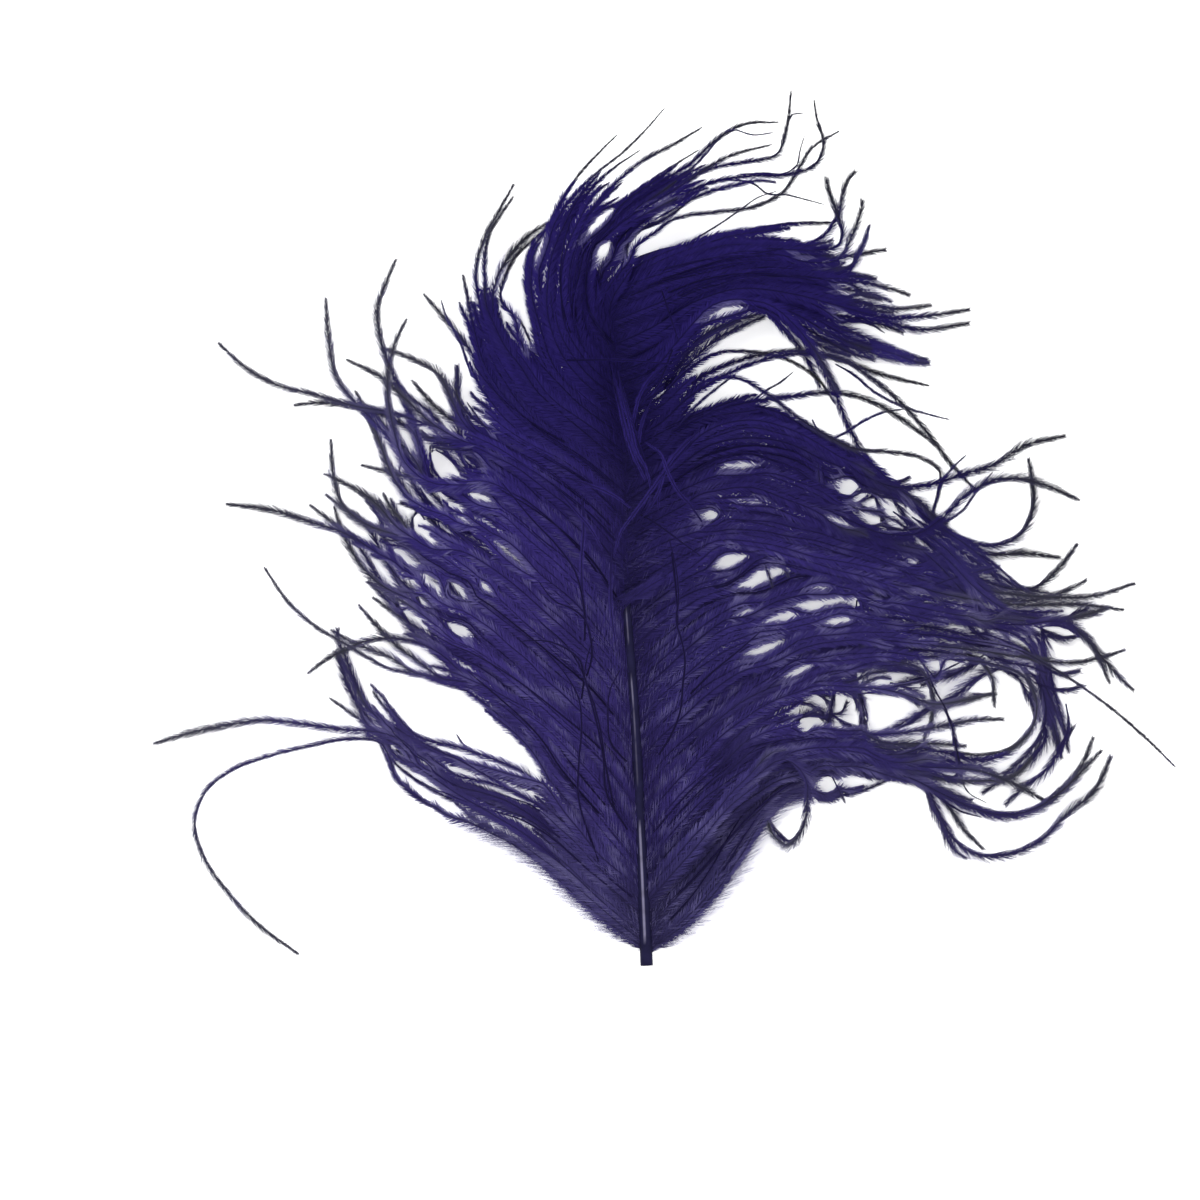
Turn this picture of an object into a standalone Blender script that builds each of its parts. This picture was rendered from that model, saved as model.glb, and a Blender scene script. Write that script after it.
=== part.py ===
"""Ostrich feather, dyed, lying down: one grown piece, its shaft with the barbs that grow from it.

The soft barbs of such a feather hang together in locks, so each lock here is one flattened, tapering
rod that follows the way its barbs run and reaches the tip of its longest barb.  The locks are fused
to the shaft and to each other where they cross.

Lengths in the tables are millimetres in the feather's own plan: x to the right, y from the cut end of
the quill towards the tip, seen from above.  The model is in metres, +Z up, and lies on z = 0.
"""
import math
from collections import namedtuple

import bmesh
import bpy
from mathutils import Vector

MM = 0.001
WELD_DISTANCE = 0.00001     # metres, for a rod's end caps

# ---- Driving sizes, in millimetres ---------------------------------------------------------------

QUILL_RADIUS = 1.2          # the cut end of the shaft
SHAFT_TIP_RADIUS = 0.45     # where the shaft ends in the curled tip
FLAT_LENGTH = 25.0          # the stretch of the quill that lies flat on the table
SHAFT_RISE = 11.0           # how high the tip of the shaft stands over the table
RISE_CURVE = 1.4            # power by which it rises: slowly at first, faster towards the tip
ROOT_WIDTH = 1.6            # a lock where it leaves the shaft
STRAND_WIDTH = 1.5          # the longest barb of a lock, where it runs on alone
TIP_WIDTH = 0.9             # the end of that barb
THICKNESS = 0.5             # a lock's thickness, as a share of its width
PLAN_CENTRE = (3.7, 83.4)   # middle of the feather's plan, which becomes the model's origin

SHAFT_ROUTE = [
    (0.2, 0), (-0.3, 12), (-0.9, 25), (-1.5, 37), (-2.1, 48), (-3.1, 61), (-3.9, 73), (-4.3, 85),
    (-4.6, 98), (-5.6, 110), (-6.8, 120), (-6.5, 128), (-3.5, 133), (2, 135.5), (10, 137),
]

# ---- Locks ---------------------------------------------------------------------------------------
#
# root       where the lock leaves the shaft, measured along the shaft from its cut end
# width      of the lock while its barbs run together
# free_from  the point of the route from which its longest barb runs on alone
# lift       how far the middle of the lock arches up
# rest       how high the underside of its tip is over the table
# route      the points that it passes over, from the shaft to the tip

Lock = namedtuple("Lock", "root width free_from lift rest route")

LEFT = [
    Lock(3, 3, 8, 3, 0, [(-7, 8), (-14, 14), (-20, 19.5), (-25, 23.5), (-31, 27), (-38, 30.5),
        (-45, 36), (-50, 42.5), (-57, 43.2), (-64, 41.9), (-72, 39.9), (-79, 37.2), (-84, 33),
        (-85.9, 27.5), (-84.3, 21), (-80, 14.5), (-74, 8), (-66.2, 2.2)]),
    Lock(5.5, 3.4, 8, 3, 1, [(-8, 12), (-15, 18.5), (-22, 24), (-29, 28.5), (-36, 33), (-42, 37.5),
        (-47, 40.5), (-51, 44.3), (-55, 47.3), (-60.3, 51)]),
    Lock(8, 3.4, 8, 4, 0, [(-7, 14.5), (-14, 21.5), (-21, 28), (-28, 33), (-35, 36.5), (-41, 40),
        (-46, 43.6), (-51, 44.6), (-58, 45.1), (-66, 46.2), (-73, 46.8), (-80, 45.8), (-87, 44.3),
        (-93.8, 42.3)]),
    Lock(10.5, 3, 8, 4, 1, [(-10, 18.5), (-18, 26), (-26, 31), (-33, 34), (-40, 37.5), (-45, 41),
        (-49.5, 45.5), (-53.5, 50), (-56.2, 55), (-58.7, 59.5)]),
    Lock(13, 3, 8, 5, 1.5, [(-9, 20.5), (-16, 28), (-22, 34.5), (-28, 38.5), (-35, 41), (-41, 42.5),
        (-46, 45.5), (-50, 49.3), (-52, 52.3)]),
    Lock(15.5, 3.4, 8, 5, 0, [(-7, 23), (-13, 30), (-19, 37), (-25, 43.5), (-31, 48.3), (-37, 53),
        (-42, 55.2), (-48, 56.3), (-53, 58.8), (-57.5, 61.6), (-63, 64.8), (-68, 69.2), (-72.8, 76)]),
    Lock(18.5, 3.4, 7, 6, 1, [(-8, 27.5), (-15, 35.5), (-22, 43.5), (-29, 49.5), (-36, 55), (-41, 59.3),
        (-45.5, 61.9), (-50, 62.3), (-55, 61.2), (-60, 58.9), (-64.5, 55.6)]),
    Lock(24.5, 3.4, 6, 6, 2, [(-8, 34), (-16, 42.5), (-24, 49.5), (-31, 54), (-38, 57), (-44.5, 60.3),
        (-49.5, 64.8), (-54.7, 68.8)]),
    Lock(30.5, 3.4, 6, 6, 2, [(-9, 40.5), (-17, 48), (-25, 55), (-32, 60), (-38, 63.5), (-44, 68),
        (-49, 71), (-53, 73.2)]),
    Lock(33.5, 3.4, 6, 4, 1, [(-9, 43.5), (-18, 51.5), (-26, 58.5), (-33, 64), (-40, 68), (-46, 70.3),
        (-51, 73), (-55, 77.5), (-57.3, 81.5), (-59.4, 87.5)]),
    Lock(36.5, 3.8, 7, 6, 0, [(-9, 46.5), (-18, 54.8), (-26, 61.8), (-33, 67.3), (-40, 71.5),
        (-46, 75.5), (-52, 79.3), (-57, 82.3), (-63, 84.3), (-71, 86.8), (-80, 88)]),
    Lock(42.5, 3.4, 6, 6, 2, [(-10, 53), (-19, 61.3), (-27, 68.5), (-34, 74.5), (-41, 79.5), (-47, 82),
        (-52, 83.5), (-56, 86), (-61, 89.8)]),
    Lock(45.5, 3.4, 6, 5, 1, [(-10, 56), (-19, 64.5), (-27, 72), (-35, 78.5), (-42, 81.5), (-48, 82.5),
        (-53.5, 84.3), (-57.5, 87.5), (-59.3, 92.5), (-60, 100.3)]),
    Lock(48.5, 3.4, 6, 6, 2, [(-10, 59), (-19, 67.3), (-27, 74.2), (-35, 79), (-42, 80.5), (-47, 83.3),
        (-51.5, 88.3), (-55.5, 91), (-61.3, 93.8)]),
    Lock(54.5, 3.4, 6, 6, 3, [(-11, 65.3), (-19, 73), (-27, 80), (-34, 84.5), (-40, 86.5), (-45, 89),
        (-48.5, 94), (-50.3, 99), (-52.5, 104.5), (-55.3, 109.5)]),
    Lock(57.5, 3.4, 5, 4, 3, [(-11, 68.5), (-19, 76.5), (-27, 84), (-35, 89), (-41, 92.3), (-47, 93.6),
        (-54.2, 95.4)]),
    Lock(60.5, 3.8, 6, 6, 1, [(-11, 71.8), (-19, 80), (-27, 86.5), (-34, 90), (-40, 91.5),
        (-43.5, 94.5), (-47, 98.3), (-51, 103), (-55, 107), (-58.8, 112), (-60.3, 119), (-61, 127.3)]),
    Lock(63.5, 3.6, 6, 5, 2, [(-11, 75), (-20, 83.3), (-28, 88.5), (-35, 90.5), (-40, 93.3),
        (-42.8, 99), (-44.8, 105.5), (-48, 112.5), (-50.4, 119), (-51, 125.5), (-49.5, 130),
        (-47.5, 134.6)]),
    Lock(66.5, 3.2, 5, 7, 3, [(-11, 78), (-20, 86), (-28, 90.5), (-36, 91.5), (-42, 92.5), (-45.8, 96),
        (-47.8, 102), (-49, 108.5), (-48.8, 114.5), (-47.3, 119.5), (-45.5, 123.2)]),
    Lock(70, 3.2, 5, 6, 0, [(-12, 81), (-20, 88.3), (-27, 94.3), (-33, 98.8), (-40, 102.3),
        (-48, 105.2), (-56, 106.7), (-63, 108.8), (-70, 110.6), (-76, 113.8), (-81.5, 118.7)]),
    Lock(73, 3.2, 4, 4, 2, [(-12, 84), (-20, 90.8), (-28, 95.7), (-36, 98.2), (-42, 100.7), (-50, 105),
        (-57, 106.9), (-62, 107.3), (-67, 106.8)]),
    Lock(76, 3.2, 4, 6, 3, [(-12, 86.3), (-20, 92.7), (-28, 97.5), (-35, 100), (-40, 102.8),
        (-45.5, 107.7), (-50, 111.8), (-57, 115.5)]),
    Lock(79, 3.2, 4, 5, 3, [(-12, 88.5), (-20, 94.5), (-28, 99), (-34, 102.5), (-36.8, 107.5),
        (-39.5, 112.7), (-44, 115.4), (-50.2, 117.7)]),
    Lock(84.5, 3.4, 4, 5, 4, [(-12, 92.7), (-20, 97.8), (-27, 101.5), (-32.5, 104), (-35.7, 108),
        (-35.9, 114.3)]),
    Lock(87, 4, 5, 5, 2, [(-12, 94.8), (-20, 99.8), (-26, 104.8), (-30.5, 110.5), (-33, 116.5),
        (-36, 120.5), (-42.3, 128)]),
    Lock(89.5, 4.4, 6, 6, 3, [(-12, 96.8), (-20, 101.8), (-26, 107.3), (-30.5, 114), (-32.7, 121.5),
        (-33.8, 127), (-34.8, 131.6)]),
    Lock(92, 4.4, 6, 6, 1, [(-12, 99), (-19.5, 104.3), (-25, 110.3), (-29, 117.5), (-31.3, 125),
        (-32.3, 132), (-30.5, 139), (-27.8, 144), (-25.1, 149)]),
    Lock(97, 4, 5, 7, 5, [(-12, 103.3), (-18.5, 108.5), (-23.5, 114.8), (-27.5, 121), (-29, 127),
        (-26.5, 133.5), (-22.5, 138.7), (-17.5, 142.5)]),
]

CREST = [
    Lock(102, 3.6, 6, 7, 5, [(-12, 108), (-18, 114), (-21.3, 121), (-23, 129), (-21.8, 134.5),
        (-18.5, 140.5), (-16.2, 144.8), (-13, 150), (-9.5, 154), (-5.5, 158.1)]),
    Lock(104.5, 4, 7, 8, 4, [(-12, 110.5), (-17.3, 117), (-19.7, 124.5), (-20.3, 132), (-18, 139.5),
        (-14.8, 144.8), (-9.8, 150.2), (-4.5, 154.5), (-0.5, 158.5), (3.6, 163.3)]),
    Lock(109, 4, 6, 9, 5, [(-12, 116), (-15, 122.5), (-15.5, 130), (-13.8, 137), (-10.6, 143),
        (-6, 148.3), (-0.5, 153), (5, 156), (10.8, 159.6)]),
    Lock(113, 4.2, 7, 9, 4, [(-11, 120), (-12, 126), (-11.5, 132.5), (-9, 138.5), (-5, 143), (1, 147.7),
        (8, 152), (13.8, 157.3), (18.5, 160), (25.3, 160.6)]),
    Lock(115, 4.2, 7, 8, 2, [(-10.3, 122), (-10.7, 128), (-9.5, 134), (-6.3, 139.5), (-1.5, 144),
        (5, 148), (12, 151.3), (19, 152.8), (24.8, 154.2), (26.8, 159.5), (27.7, 166.8)]),
    Lock(117, 4, 6, 9, 5, [(-9.7, 124), (-9.5, 130), (-7.8, 135.5), (-4, 140.5), (1.5, 144.7), (8, 149),
        (15, 153.5), (24, 156.3)]),
    Lock(119, 3.6, 6, 8, 3, [(-8.8, 126), (-8, 132), (-5.6, 137), (-1, 141.5), (5, 145.2), (12, 148.5),
        (20, 150), (27, 150.3), (32.5, 152.7), (33.8, 156), (32.6, 161), (32, 165)]),
    Lock(121, 3, 5, 7, 4, [(-7.8, 127.5), (-6, 132.5), (-3.4, 136.7), (1, 140.3), (6, 142.6),
        (13, 143.4), (21, 144.3), (26, 147), (28.5, 150.5), (31.5, 155.5), (36.8, 158.9)]),
]

CURL = [
    Lock(131, 3, 4, 4, 6, [(3, 136), (11, 138.6), (19, 140.2), (27, 141.6), (35.2, 141.5)]),
    Lock(130, 3.4, 4, 4, 5, [(5, 135), (14, 137.5), (22, 138.2), (29, 137.3), (34, 139), (36.6, 144.5),
        (40, 151.2)]),
    Lock(129, 3.4, 4, 5, 6, [(6, 133.5), (15, 136), (25, 136.5), (33, 136), (37.2, 138), (36.5, 142.5),
        (34.2, 150.1)]),
    Lock(126, 3.6, 4, 6, 5, [(5, 130.5), (15, 133), (25, 134), (34, 134.3), (40, 135.3), (45.6, 136.3)]),
    Lock(122.5, 4.6, 5, 7, 4, [(3, 126.5), (12, 130), (22, 131.6), (32, 131), (41, 129.7), (50.2, 127.6)]),
    Lock(120, 4.6, 5, 6, 3, [(2, 124), (10, 128), (20, 130), (30, 129), (39, 126.8), (47, 125),
        (54.4, 125.8)]),
    Lock(117.5, 4.4, 5, 8.6, 2, [(1.5, 121.5), (9, 126), (18, 128.5), (28, 127.5), (38, 124.9),
        (46, 123.2), (53, 123.6), (61.7, 125)]),
    Lock(115, 4.2, 5, 6, 1, [(1, 118.5), (8, 123.5), (17, 127), (27, 126), (37, 123.5), (45, 122.8),
        (51, 121.2), (61.6, 122.4)]),
    Lock(112.5, 4.2, 6, 7, 2, [(1, 115.5), (7, 121), (15, 125.8), (24, 125.8), (32, 123), (39, 119.3),
        (46, 117.4), (53.9, 115)]),
    Lock(110, 3, 5, 8, 3, [(0.5, 112.5), (6, 118.5), (13, 124), (22, 124.9), (28, 121), (32, 115.8),
        (35.5, 109.5), (38.3, 103), (41.5, 97.3), (46.5, 91.8)]),
]

RIGHT = [
    Lock(104, 2.6, 3, 7, 5, [(2.5, 108), (7, 112.5), (13, 116.3), (20, 116.7), (27, 115.2),
        (32.5, 111.8), (36, 107)]),
    Lock(101.5, 2.6, 3, 6, 2, [(2.5, 105.5), (8, 110.5), (14, 113.7), (21, 116), (29, 116.8),
        (37, 115.2), (45, 112.5), (54, 110.5)]),
    Lock(99, 2.4, 3, 8, 1, [(2.5, 103), (8, 108), (14, 111.8), (21, 114.8), (29, 116.3), (37, 115.3),
        (43, 111.5), (48.5, 107), (53.5, 101.5), (58, 95.7), (63, 90.5)]),
    Lock(96.5, 2.8, 4, 6, 3, [(3, 101.5), (10, 106), (19, 107.7), (28, 108.3), (36, 109), (43, 107.3),
        (49, 103.8), (55.5, 99)]),
    Lock(95, 2.6, 3, 7, 2, [(3, 101), (6.5, 107), (11, 111), (17, 111.8), (23, 108.7), (28, 104.8),
        (34, 101), (40, 98.3), (46, 97.8), (52, 96.8), (55.8, 94.3), (55.6, 89.5), (54, 84.5)]),
    Lock(91.5, 4, 8, 5, 1, [(5, 98.5), (12, 104), (20, 106), (27, 103.8), (33, 100.3), (39, 97.3),
        (44, 93), (49, 89), (54, 84.8), (60, 81.2), (66, 80), (71, 82), (73.6, 86.5), (73.8, 91.5),
        (73, 96.6)]),
    Lock(88.5, 4, 6, 7, 0, [(5, 95.5), (12, 100.8), (20, 103), (28, 101), (35, 97.5), (41, 93.5),
        (47, 91.2), (53, 91.4), (60, 93.5), (66, 95.3), (72, 99), (80, 101)]),
    Lock(85.5, 3.8, 7, 5, 1, [(5, 91.8), (12, 96.3), (20, 97.8), (28, 96.3), (34, 93), (41, 91),
        (47, 89.8), (53, 86.5), (59, 81.5), (65, 78.5), (72, 78.6), (79, 77.8)]),
    Lock(82.5, 3.6, 5, 7, 2, [(6, 88.5), (13, 91), (21, 91.3), (29, 88.8), (37, 85.5), (45, 82.3),
        (51.5, 82.3), (56.5, 85.5), (61, 89.8), (66, 92.4), (71.5, 92.7), (77, 91.2), (82.6, 88.7)]),
    Lock(79, 3.8, 8, 5, 1, [(6, 84.5), (14, 86.5), (22, 86), (30, 84), (38, 81.5), (46, 79.5),
        (54, 77.5), (61, 75), (67.5, 72.3), (73.5, 71.8), (78, 75), (82.3, 80.4)]),
    Lock(75.5, 4.2, 8, 6, 0, [(6, 81), (14, 83), (22, 82.5), (30, 80.8), (38, 78.8), (46, 76.5),
        (54, 74.3), (62, 72), (70, 70.8), (78, 70.2), (86, 70.6), (93.3, 72.9)]),
    Lock(67, 4, 8, 7, 1, [(3.5, 73), (9.5, 77.5), (16, 80.3), (24, 79.5), (32, 77.5), (40, 75.5),
        (48, 73), (56, 71), (64, 69.5), (73, 68.7), (82, 68.9), (91.2, 67.8)]),
    Lock(56.5, 4, 9, 5, 1, [(4, 62.5), (9.5, 67), (15, 70), (21, 71.5), (28, 73.5), (36, 72.8),
        (44, 71), (52, 69), (61, 67.2), (70, 65.8), (79, 65.5), (83.7, 63), (86.4, 58.5), (88.5, 53.7)]),
    Lock(52, 4, 9, 7, 1, [(4, 58), (9.5, 62.5), (15, 66.5), (21, 68.5), (28, 70.8), (36, 71.3),
        (44, 69), (53, 67), (62, 65.8), (71, 65), (80, 65.3), (85, 61), (89, 56.3), (93, 52.4)]),
    Lock(48, 3.8, 8, 5, 2, [(4, 54), (10, 59), (16, 63), (22, 64.5), (29, 66.7), (37, 67.8), (45, 66.5),
        (54, 65.8), (63, 65), (72, 63.8), (78.5, 62.5), (82.6, 62.8)]),
    Lock(44, 4, 9, 6, 0, [(4, 50), (10, 55), (16, 59), (23, 61), (30, 63.8), (38, 65), (46, 64),
        (54, 63), (62, 62), (70, 60.5), (76.5, 57.3), (83, 53.2), (89, 48.8), (95, 43.7), (101.1, 37.8)]),
    Lock(40, 3.8, 8, 7, 1, [(4, 46), (10, 51), (16, 55.5), (23, 58.8), (30, 61.5), (38, 62.8), (46, 62),
        (55, 61), (64, 60), (73, 58.6), (82, 57.8), (87, 58.8), (91.4, 60.2)]),
    Lock(36.5, 4, 8, 5, 0, [(4, 42.5), (10, 48), (17, 53.5), (24, 57.3), (32, 60), (41, 61.2), (50, 61),
        (60, 61), (69, 61.3), (74, 59), (75.8, 54), (76.8, 48.5), (78, 43.5), (79.4, 39.5)]),
    Lock(33, 3.6, 8, 6, 2, [(4, 39.5), (10, 45), (17, 50.5), (24, 55), (32, 58), (40, 59.3), (49, 59.3),
        (58, 58.5), (66, 57.5), (71.5, 55.5), (74.3, 50.5), (73.5, 45.5), (69.5, 41.5), (64.5, 40.2),
        (58, 40.8)]),
    Lock(30, 3.4, 7, 5, 3, [(4, 36), (10, 41.5), (17, 47), (24, 52), (31, 55.5), (39, 57.5), (48, 58.3),
        (56, 59), (62.5, 59), (65.6, 55.5), (66.4, 49.4)]),
    Lock(25, 2.6, 7, 5, 4, [(4, 31.5), (11, 38.8), (18, 45), (25, 50), (32, 54.5), (39, 56.3),
        (46, 57.2), (51.5, 57), (54.3, 52.8), (54.5, 47.5), (52.8, 42.8)]),
    Lock(23, 3.4, 6, 6, 2, [(4, 29), (11, 36.5), (18, 41.7), (26, 44), (34, 44.5), (42, 44.2),
        (50, 44.6), (58, 46), (63, 46.9), (68.2, 47)]),
    Lock(20, 4.2, 6, 5, 3, [(4, 26), (10, 32.5), (17, 38), (25, 41.5), (34, 43), (43, 42.3), (51, 42.4),
        (57, 42.3), (61, 41.8)]),
    Lock(17, 4.4, 7, 7, 2, [(4, 23), (10, 29.5), (17, 35.5), (25, 39.5), (34, 41.3), (43, 40.3),
        (50, 38.3), (57, 37.8), (63, 37.3), (69, 35.2), (76.5, 31.2)]),
    Lock(14, 4.2, 7, 5, 2, [(4, 20), (10, 26.5), (17, 33), (25, 37.8), (34, 39.8), (43, 39), (50, 37),
        (57, 35.8), (64, 35.3), (70, 36.2), (74, 40.5), (76.3, 45)]),
    Lock(11.5, 4.4, 8, 6, 1, [(4, 17), (10, 23.3), (17, 30.3), (25, 36), (34, 38.5), (43, 38), (50, 36),
        (56, 33), (62, 30.2), (68, 28.8), (74, 30), (79.5, 33.8), (83, 38), (85.3, 43.5)]),
    Lock(6.5, 4, 8, 5, 0, [(4, 10.5), (10, 16.5), (16, 23.5), (22, 30), (30, 35.5), (39, 37), (47, 37),
        (53, 34.5), (55.8, 29), (58.7, 24), (63, 21.3), (69, 21.3), (75, 23.8), (80, 28.7),
        (85.5, 33.3), (88.8, 39.9)]),
    Lock(4.5, 3.6, 8, 3, 1, [(4, 7.5), (9, 12.3), (14, 18.5), (18.5, 24.8), (23.5, 30.3), (30, 35),
        (38, 37), (46.5, 37.2), (53, 35.5), (57.5, 30.5), (61, 25.5), (64.3, 22.2)]),
    Lock(2.5, 3.4, 9, 2, 1, [(5, 5.8), (10, 10), (14.5, 15), (18.5, 20.5), (21.5, 26), (25, 31),
        (31.5, 33.3), (36, 32.5), (41, 34.2), (47, 36.3)]),
    Lock(12.5, 1.6, 3, 8, 3, [(6, 20), (13, 28.5), (20.5, 36), (26.5, 39.5), (30, 36.5), (30.6, 31),
        (29.6, 26), (27, 23.2), (24.4, 24.8), (22.8, 29)]),
]


# ---- Shapes --------------------------------------------------------------------------------------


def along(points, distance):
    """The place on a line of plan points, at a distance along it from its first point."""
    for start, end in zip(points, points[1:]):
        step = math.dist(start, end)
        if distance <= step:
            share = distance / step
            return tuple(a + (b - a) * share for a, b in zip(start, end))
        distance -= step
    return points[-1]


def distances(points):
    """How far each point lies along the line, from its first point."""
    total = [0.0]
    for start, end in zip(points, points[1:]):
        total.append(total[-1] + math.dist(start, end))
    return total


SHAFT_LENGTH = distances(SHAFT_ROUTE)[-1]


def shaft_radius(distance):
    """Radius of the shaft, which tapers evenly to its tip."""
    share = distance / SHAFT_LENGTH
    return QUILL_RADIUS + (SHAFT_TIP_RADIUS - QUILL_RADIUS) * share


def shaft_height(distance):
    """Height of the middle of the shaft, which lies flat and then arches up to the tip."""
    share = max(0.0, distance - FLAT_LENGTH) / (SHAFT_LENGTH - FLAT_LENGTH)
    return shaft_radius(distance) + SHAFT_RISE * share ** RISE_CURVE


def in_model(point, height):
    """A plan point and a height, in millimetres, as a place in the model."""
    x = point[0] - PLAN_CENTRE[0]
    y = point[1] - PLAN_CENTRE[1]
    return Vector((x, y, height)) * MM


def profile(name, corners):
    """A closed outline, at half width 1, that a curve carries along itself."""
    data = bpy.data.curves.new(name, "CURVE")
    data.dimensions = "2D"
    spline = data.splines.new("POLY")
    spline.points.add(len(corners) - 1)
    for point, (x, y) in zip(spline.points, corners):
        point.co = (x, y, 0.0, 1.0)
    spline.use_cyclic_u = True
    outline = bpy.data.objects.new(name, data)
    outline.hide_render = True
    outline.display_type = "WIRE"
    bpy.context.scene.collection.objects.link(outline)
    return outline


def rod(name, places, half_widths, outline):
    """A closed mesh rod through the places, as wide at each as it is told."""
    data = bpy.data.curves.new(name, "CURVE")
    data.dimensions = "3D"
    data.twist_mode = "Z_UP"
    data.bevel_mode = "OBJECT"
    data.bevel_object = outline
    data.use_fill_caps = True
    spline = data.splines.new("POLY")
    spline.points.add(len(places) - 1)
    for point, place, half_width in zip(spline.points, places, half_widths):
        point.co = (*place, 1.0)
        point.radius = half_width * MM
    curve = bpy.data.objects.new(name + "_route", data)
    bpy.context.scene.collection.objects.link(curve)
    graph = bpy.context.evaluated_depsgraph_get()
    mesh = bpy.data.meshes.new_from_object(curve.evaluated_get(graph))
    weld = bmesh.new()
    weld.from_mesh(mesh)
    bmesh.ops.remove_doubles(weld, verts=weld.verts, dist=WELD_DISTANCE)
    bmesh.ops.recalc_face_normals(weld, faces=weld.faces)
    weld.to_mesh(mesh)
    weld.free()
    solid = bpy.data.objects.new(name, mesh)
    solid.matrix_world = curve.matrix_world
    bpy.data.objects.remove(curve)
    return solid


def make_shaft(outline):
    """The shaft, from the cut quill to the curled tip."""
    along_it = distances(SHAFT_ROUTE)
    places = [in_model(point, shaft_height(d)) for point, d in zip(SHAFT_ROUTE, along_it)]
    return rod("feather", places, [shaft_radius(d) for d in along_it], outline)


def lock_half_width(lock, index):
    """Half the width of a lock at a point of its route, where point 0 is on the shaft."""
    if index == 0:
        return ROOT_WIDTH / 2
    if index < lock.free_from:
        return lock.width / 2
    steps = len(lock.route) - lock.free_from
    share = (index - lock.free_from) / steps
    return (STRAND_WIDTH + (TIP_WIDTH - STRAND_WIDTH) * share) / 2


def make_lock(name, lock, outline):
    """One lock of barbs, from the middle of the shaft to the tip of its longest barb."""
    route = [along(SHAFT_ROUTE, lock.root), *lock.route]
    along_it = distances(route)
    root_height = shaft_height(lock.root)
    tip_height = lock.rest + TIP_WIDTH / 2 * THICKNESS
    places = []
    for point, distance in zip(route, along_it):
        share = distance / along_it[-1]
        line = root_height + (tip_height - root_height) * share
        places.append(in_model(point, line + lock.lift * math.sin(math.pi * share)))
    half_widths = [lock_half_width(lock, i) for i in range(len(route))]
    return rod(name, places, half_widths, outline)


def dyed_material():
    """The violet dye of the barbs and the shaft."""
    material = bpy.data.materials.new("dyed_barbs")
    material.use_nodes = True
    shader = material.node_tree.nodes["Principled BSDF"]
    shader.inputs["Base Color"].default_value = (0.026, 0.015, 0.122, 1.0)
    shader.inputs["Roughness"].default_value = 0.7
    shader.inputs["Metallic"].default_value = 0.0
    return material


def clear_scene():
    """Removes what the startup file put in the scene."""
    for leftover in list(bpy.data.objects):
        bpy.data.objects.remove(leftover)


def make_feather():
    """Fuses the locks to the shaft, as one solid."""
    locks_collection = bpy.data.collections.new("locks")
    bpy.context.scene.collection.children.link(locks_collection)
    feather_collection = bpy.data.collections.new("ostrich_feather")
    bpy.context.scene.collection.children.link(feather_collection)

    eighth = math.pi / 8
    octagon = [(math.cos(a) / math.cos(eighth), math.sin(a) / math.cos(eighth))
               for a in (eighth * (2 * i + 1) for i in range(8))]
    shaft_outline = profile("shaft_outline", octagon)
    lock_outline = profile("lock_outline", [(1, 0), (0, THICKNESS), (-1, 0), (0, -THICKNESS)])

    feather = make_shaft(shaft_outline)
    feather_collection.objects.link(feather)
    for number, lock in enumerate(LEFT + CREST + CURL + RIGHT):
        solid = make_lock(f"lock_{number:02d}", lock, lock_outline)
        solid.hide_render = True
        solid.display_type = "WIRE"
        locks_collection.objects.link(solid)

    fuse = feather.modifiers.new("fuse_locks", "BOOLEAN")
    fuse.operation = "UNION"
    fuse.solver = "EXACT"
    fuse.operand_type = "COLLECTION"
    fuse.collection = locks_collection
    feather.data.materials.append(dyed_material())


clear_scene()
make_feather()
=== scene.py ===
"""The looks of the dyed ostrich feather: its shaft, its barbs with their barbules, table and light.

Each lock of the CAD part becomes several single barbs here.  They leave the shaft one above the
other, gather along the lock's route, and end one after another, until the longest runs on alone.
Every barb is a thin tapered stem with two rows of barbules, and each barbule is one long triangle.

Lengths are millimetres in the feather's own plan, as in the part: x to the right, y from the cut
end of the quill towards the tip.  The scene is in metres, +Z up, and the feather lies on z = 0.

A span is a pair, where something starts and over what length it comes in smoothly.  A range is a
pair, the least and the most that a random draw can give.
"""

import math
from collections import namedtuple

import bpy
import numpy as np
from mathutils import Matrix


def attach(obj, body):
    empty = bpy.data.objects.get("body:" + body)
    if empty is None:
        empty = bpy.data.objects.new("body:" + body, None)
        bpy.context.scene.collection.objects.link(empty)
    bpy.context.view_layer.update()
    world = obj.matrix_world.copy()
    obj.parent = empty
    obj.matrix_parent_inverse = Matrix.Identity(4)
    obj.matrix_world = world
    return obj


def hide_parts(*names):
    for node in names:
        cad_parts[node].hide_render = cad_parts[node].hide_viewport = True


MM = 0.001
SEED = 7

# ---- The shaft, in millimetres -------------------------------------------------------------------

QUILL_RADIUS = 1.2
SHAFT_TIP_RADIUS = 0.45
FLAT_LENGTH = 25.0
SHAFT_RISE = 11.0
RISE_CURVE = 1.4
PLAN_CENTRE = (3.7, 83.4)
SHAFT_SIDES = 48
SHAFT_STEP = 1.0                # between its rings
# The pale line along the top of the shaft is a painted highlight: the glint of light on the glossy
# quill, painted into its colour.
HIGHLIGHT_TURN = math.radians(82.0)  # its painted highlight, a pale line, runs a little to the left of the top
HIGHLIGHT_HALF = (math.radians(12.0), math.radians(8.0))     # half its angle low down, and higher up
HIGHLIGHT_NARROWS = (22.0, 12.0)     # the span where it gets narrower
HIGHLIGHT_SOFT = 0.4                 # how much of that half is fully pale
HIGHLIGHT_FADE = 2.0                 # the length over which each stretch of it comes and goes
HIGHLIGHT_STRETCHES = ((4.0, 28.0, 1.0), (34.0, 44.0, 0.3), (43.0, 50.0, 0.5), (49.0, 56.0, 0.9),
                  (61.0, 69.0, 0.6))    # from, to, and how bright the painted highlight is

# ---- Paths of barbs, in millimetres unless said otherwise ----------------------------------------

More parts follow.
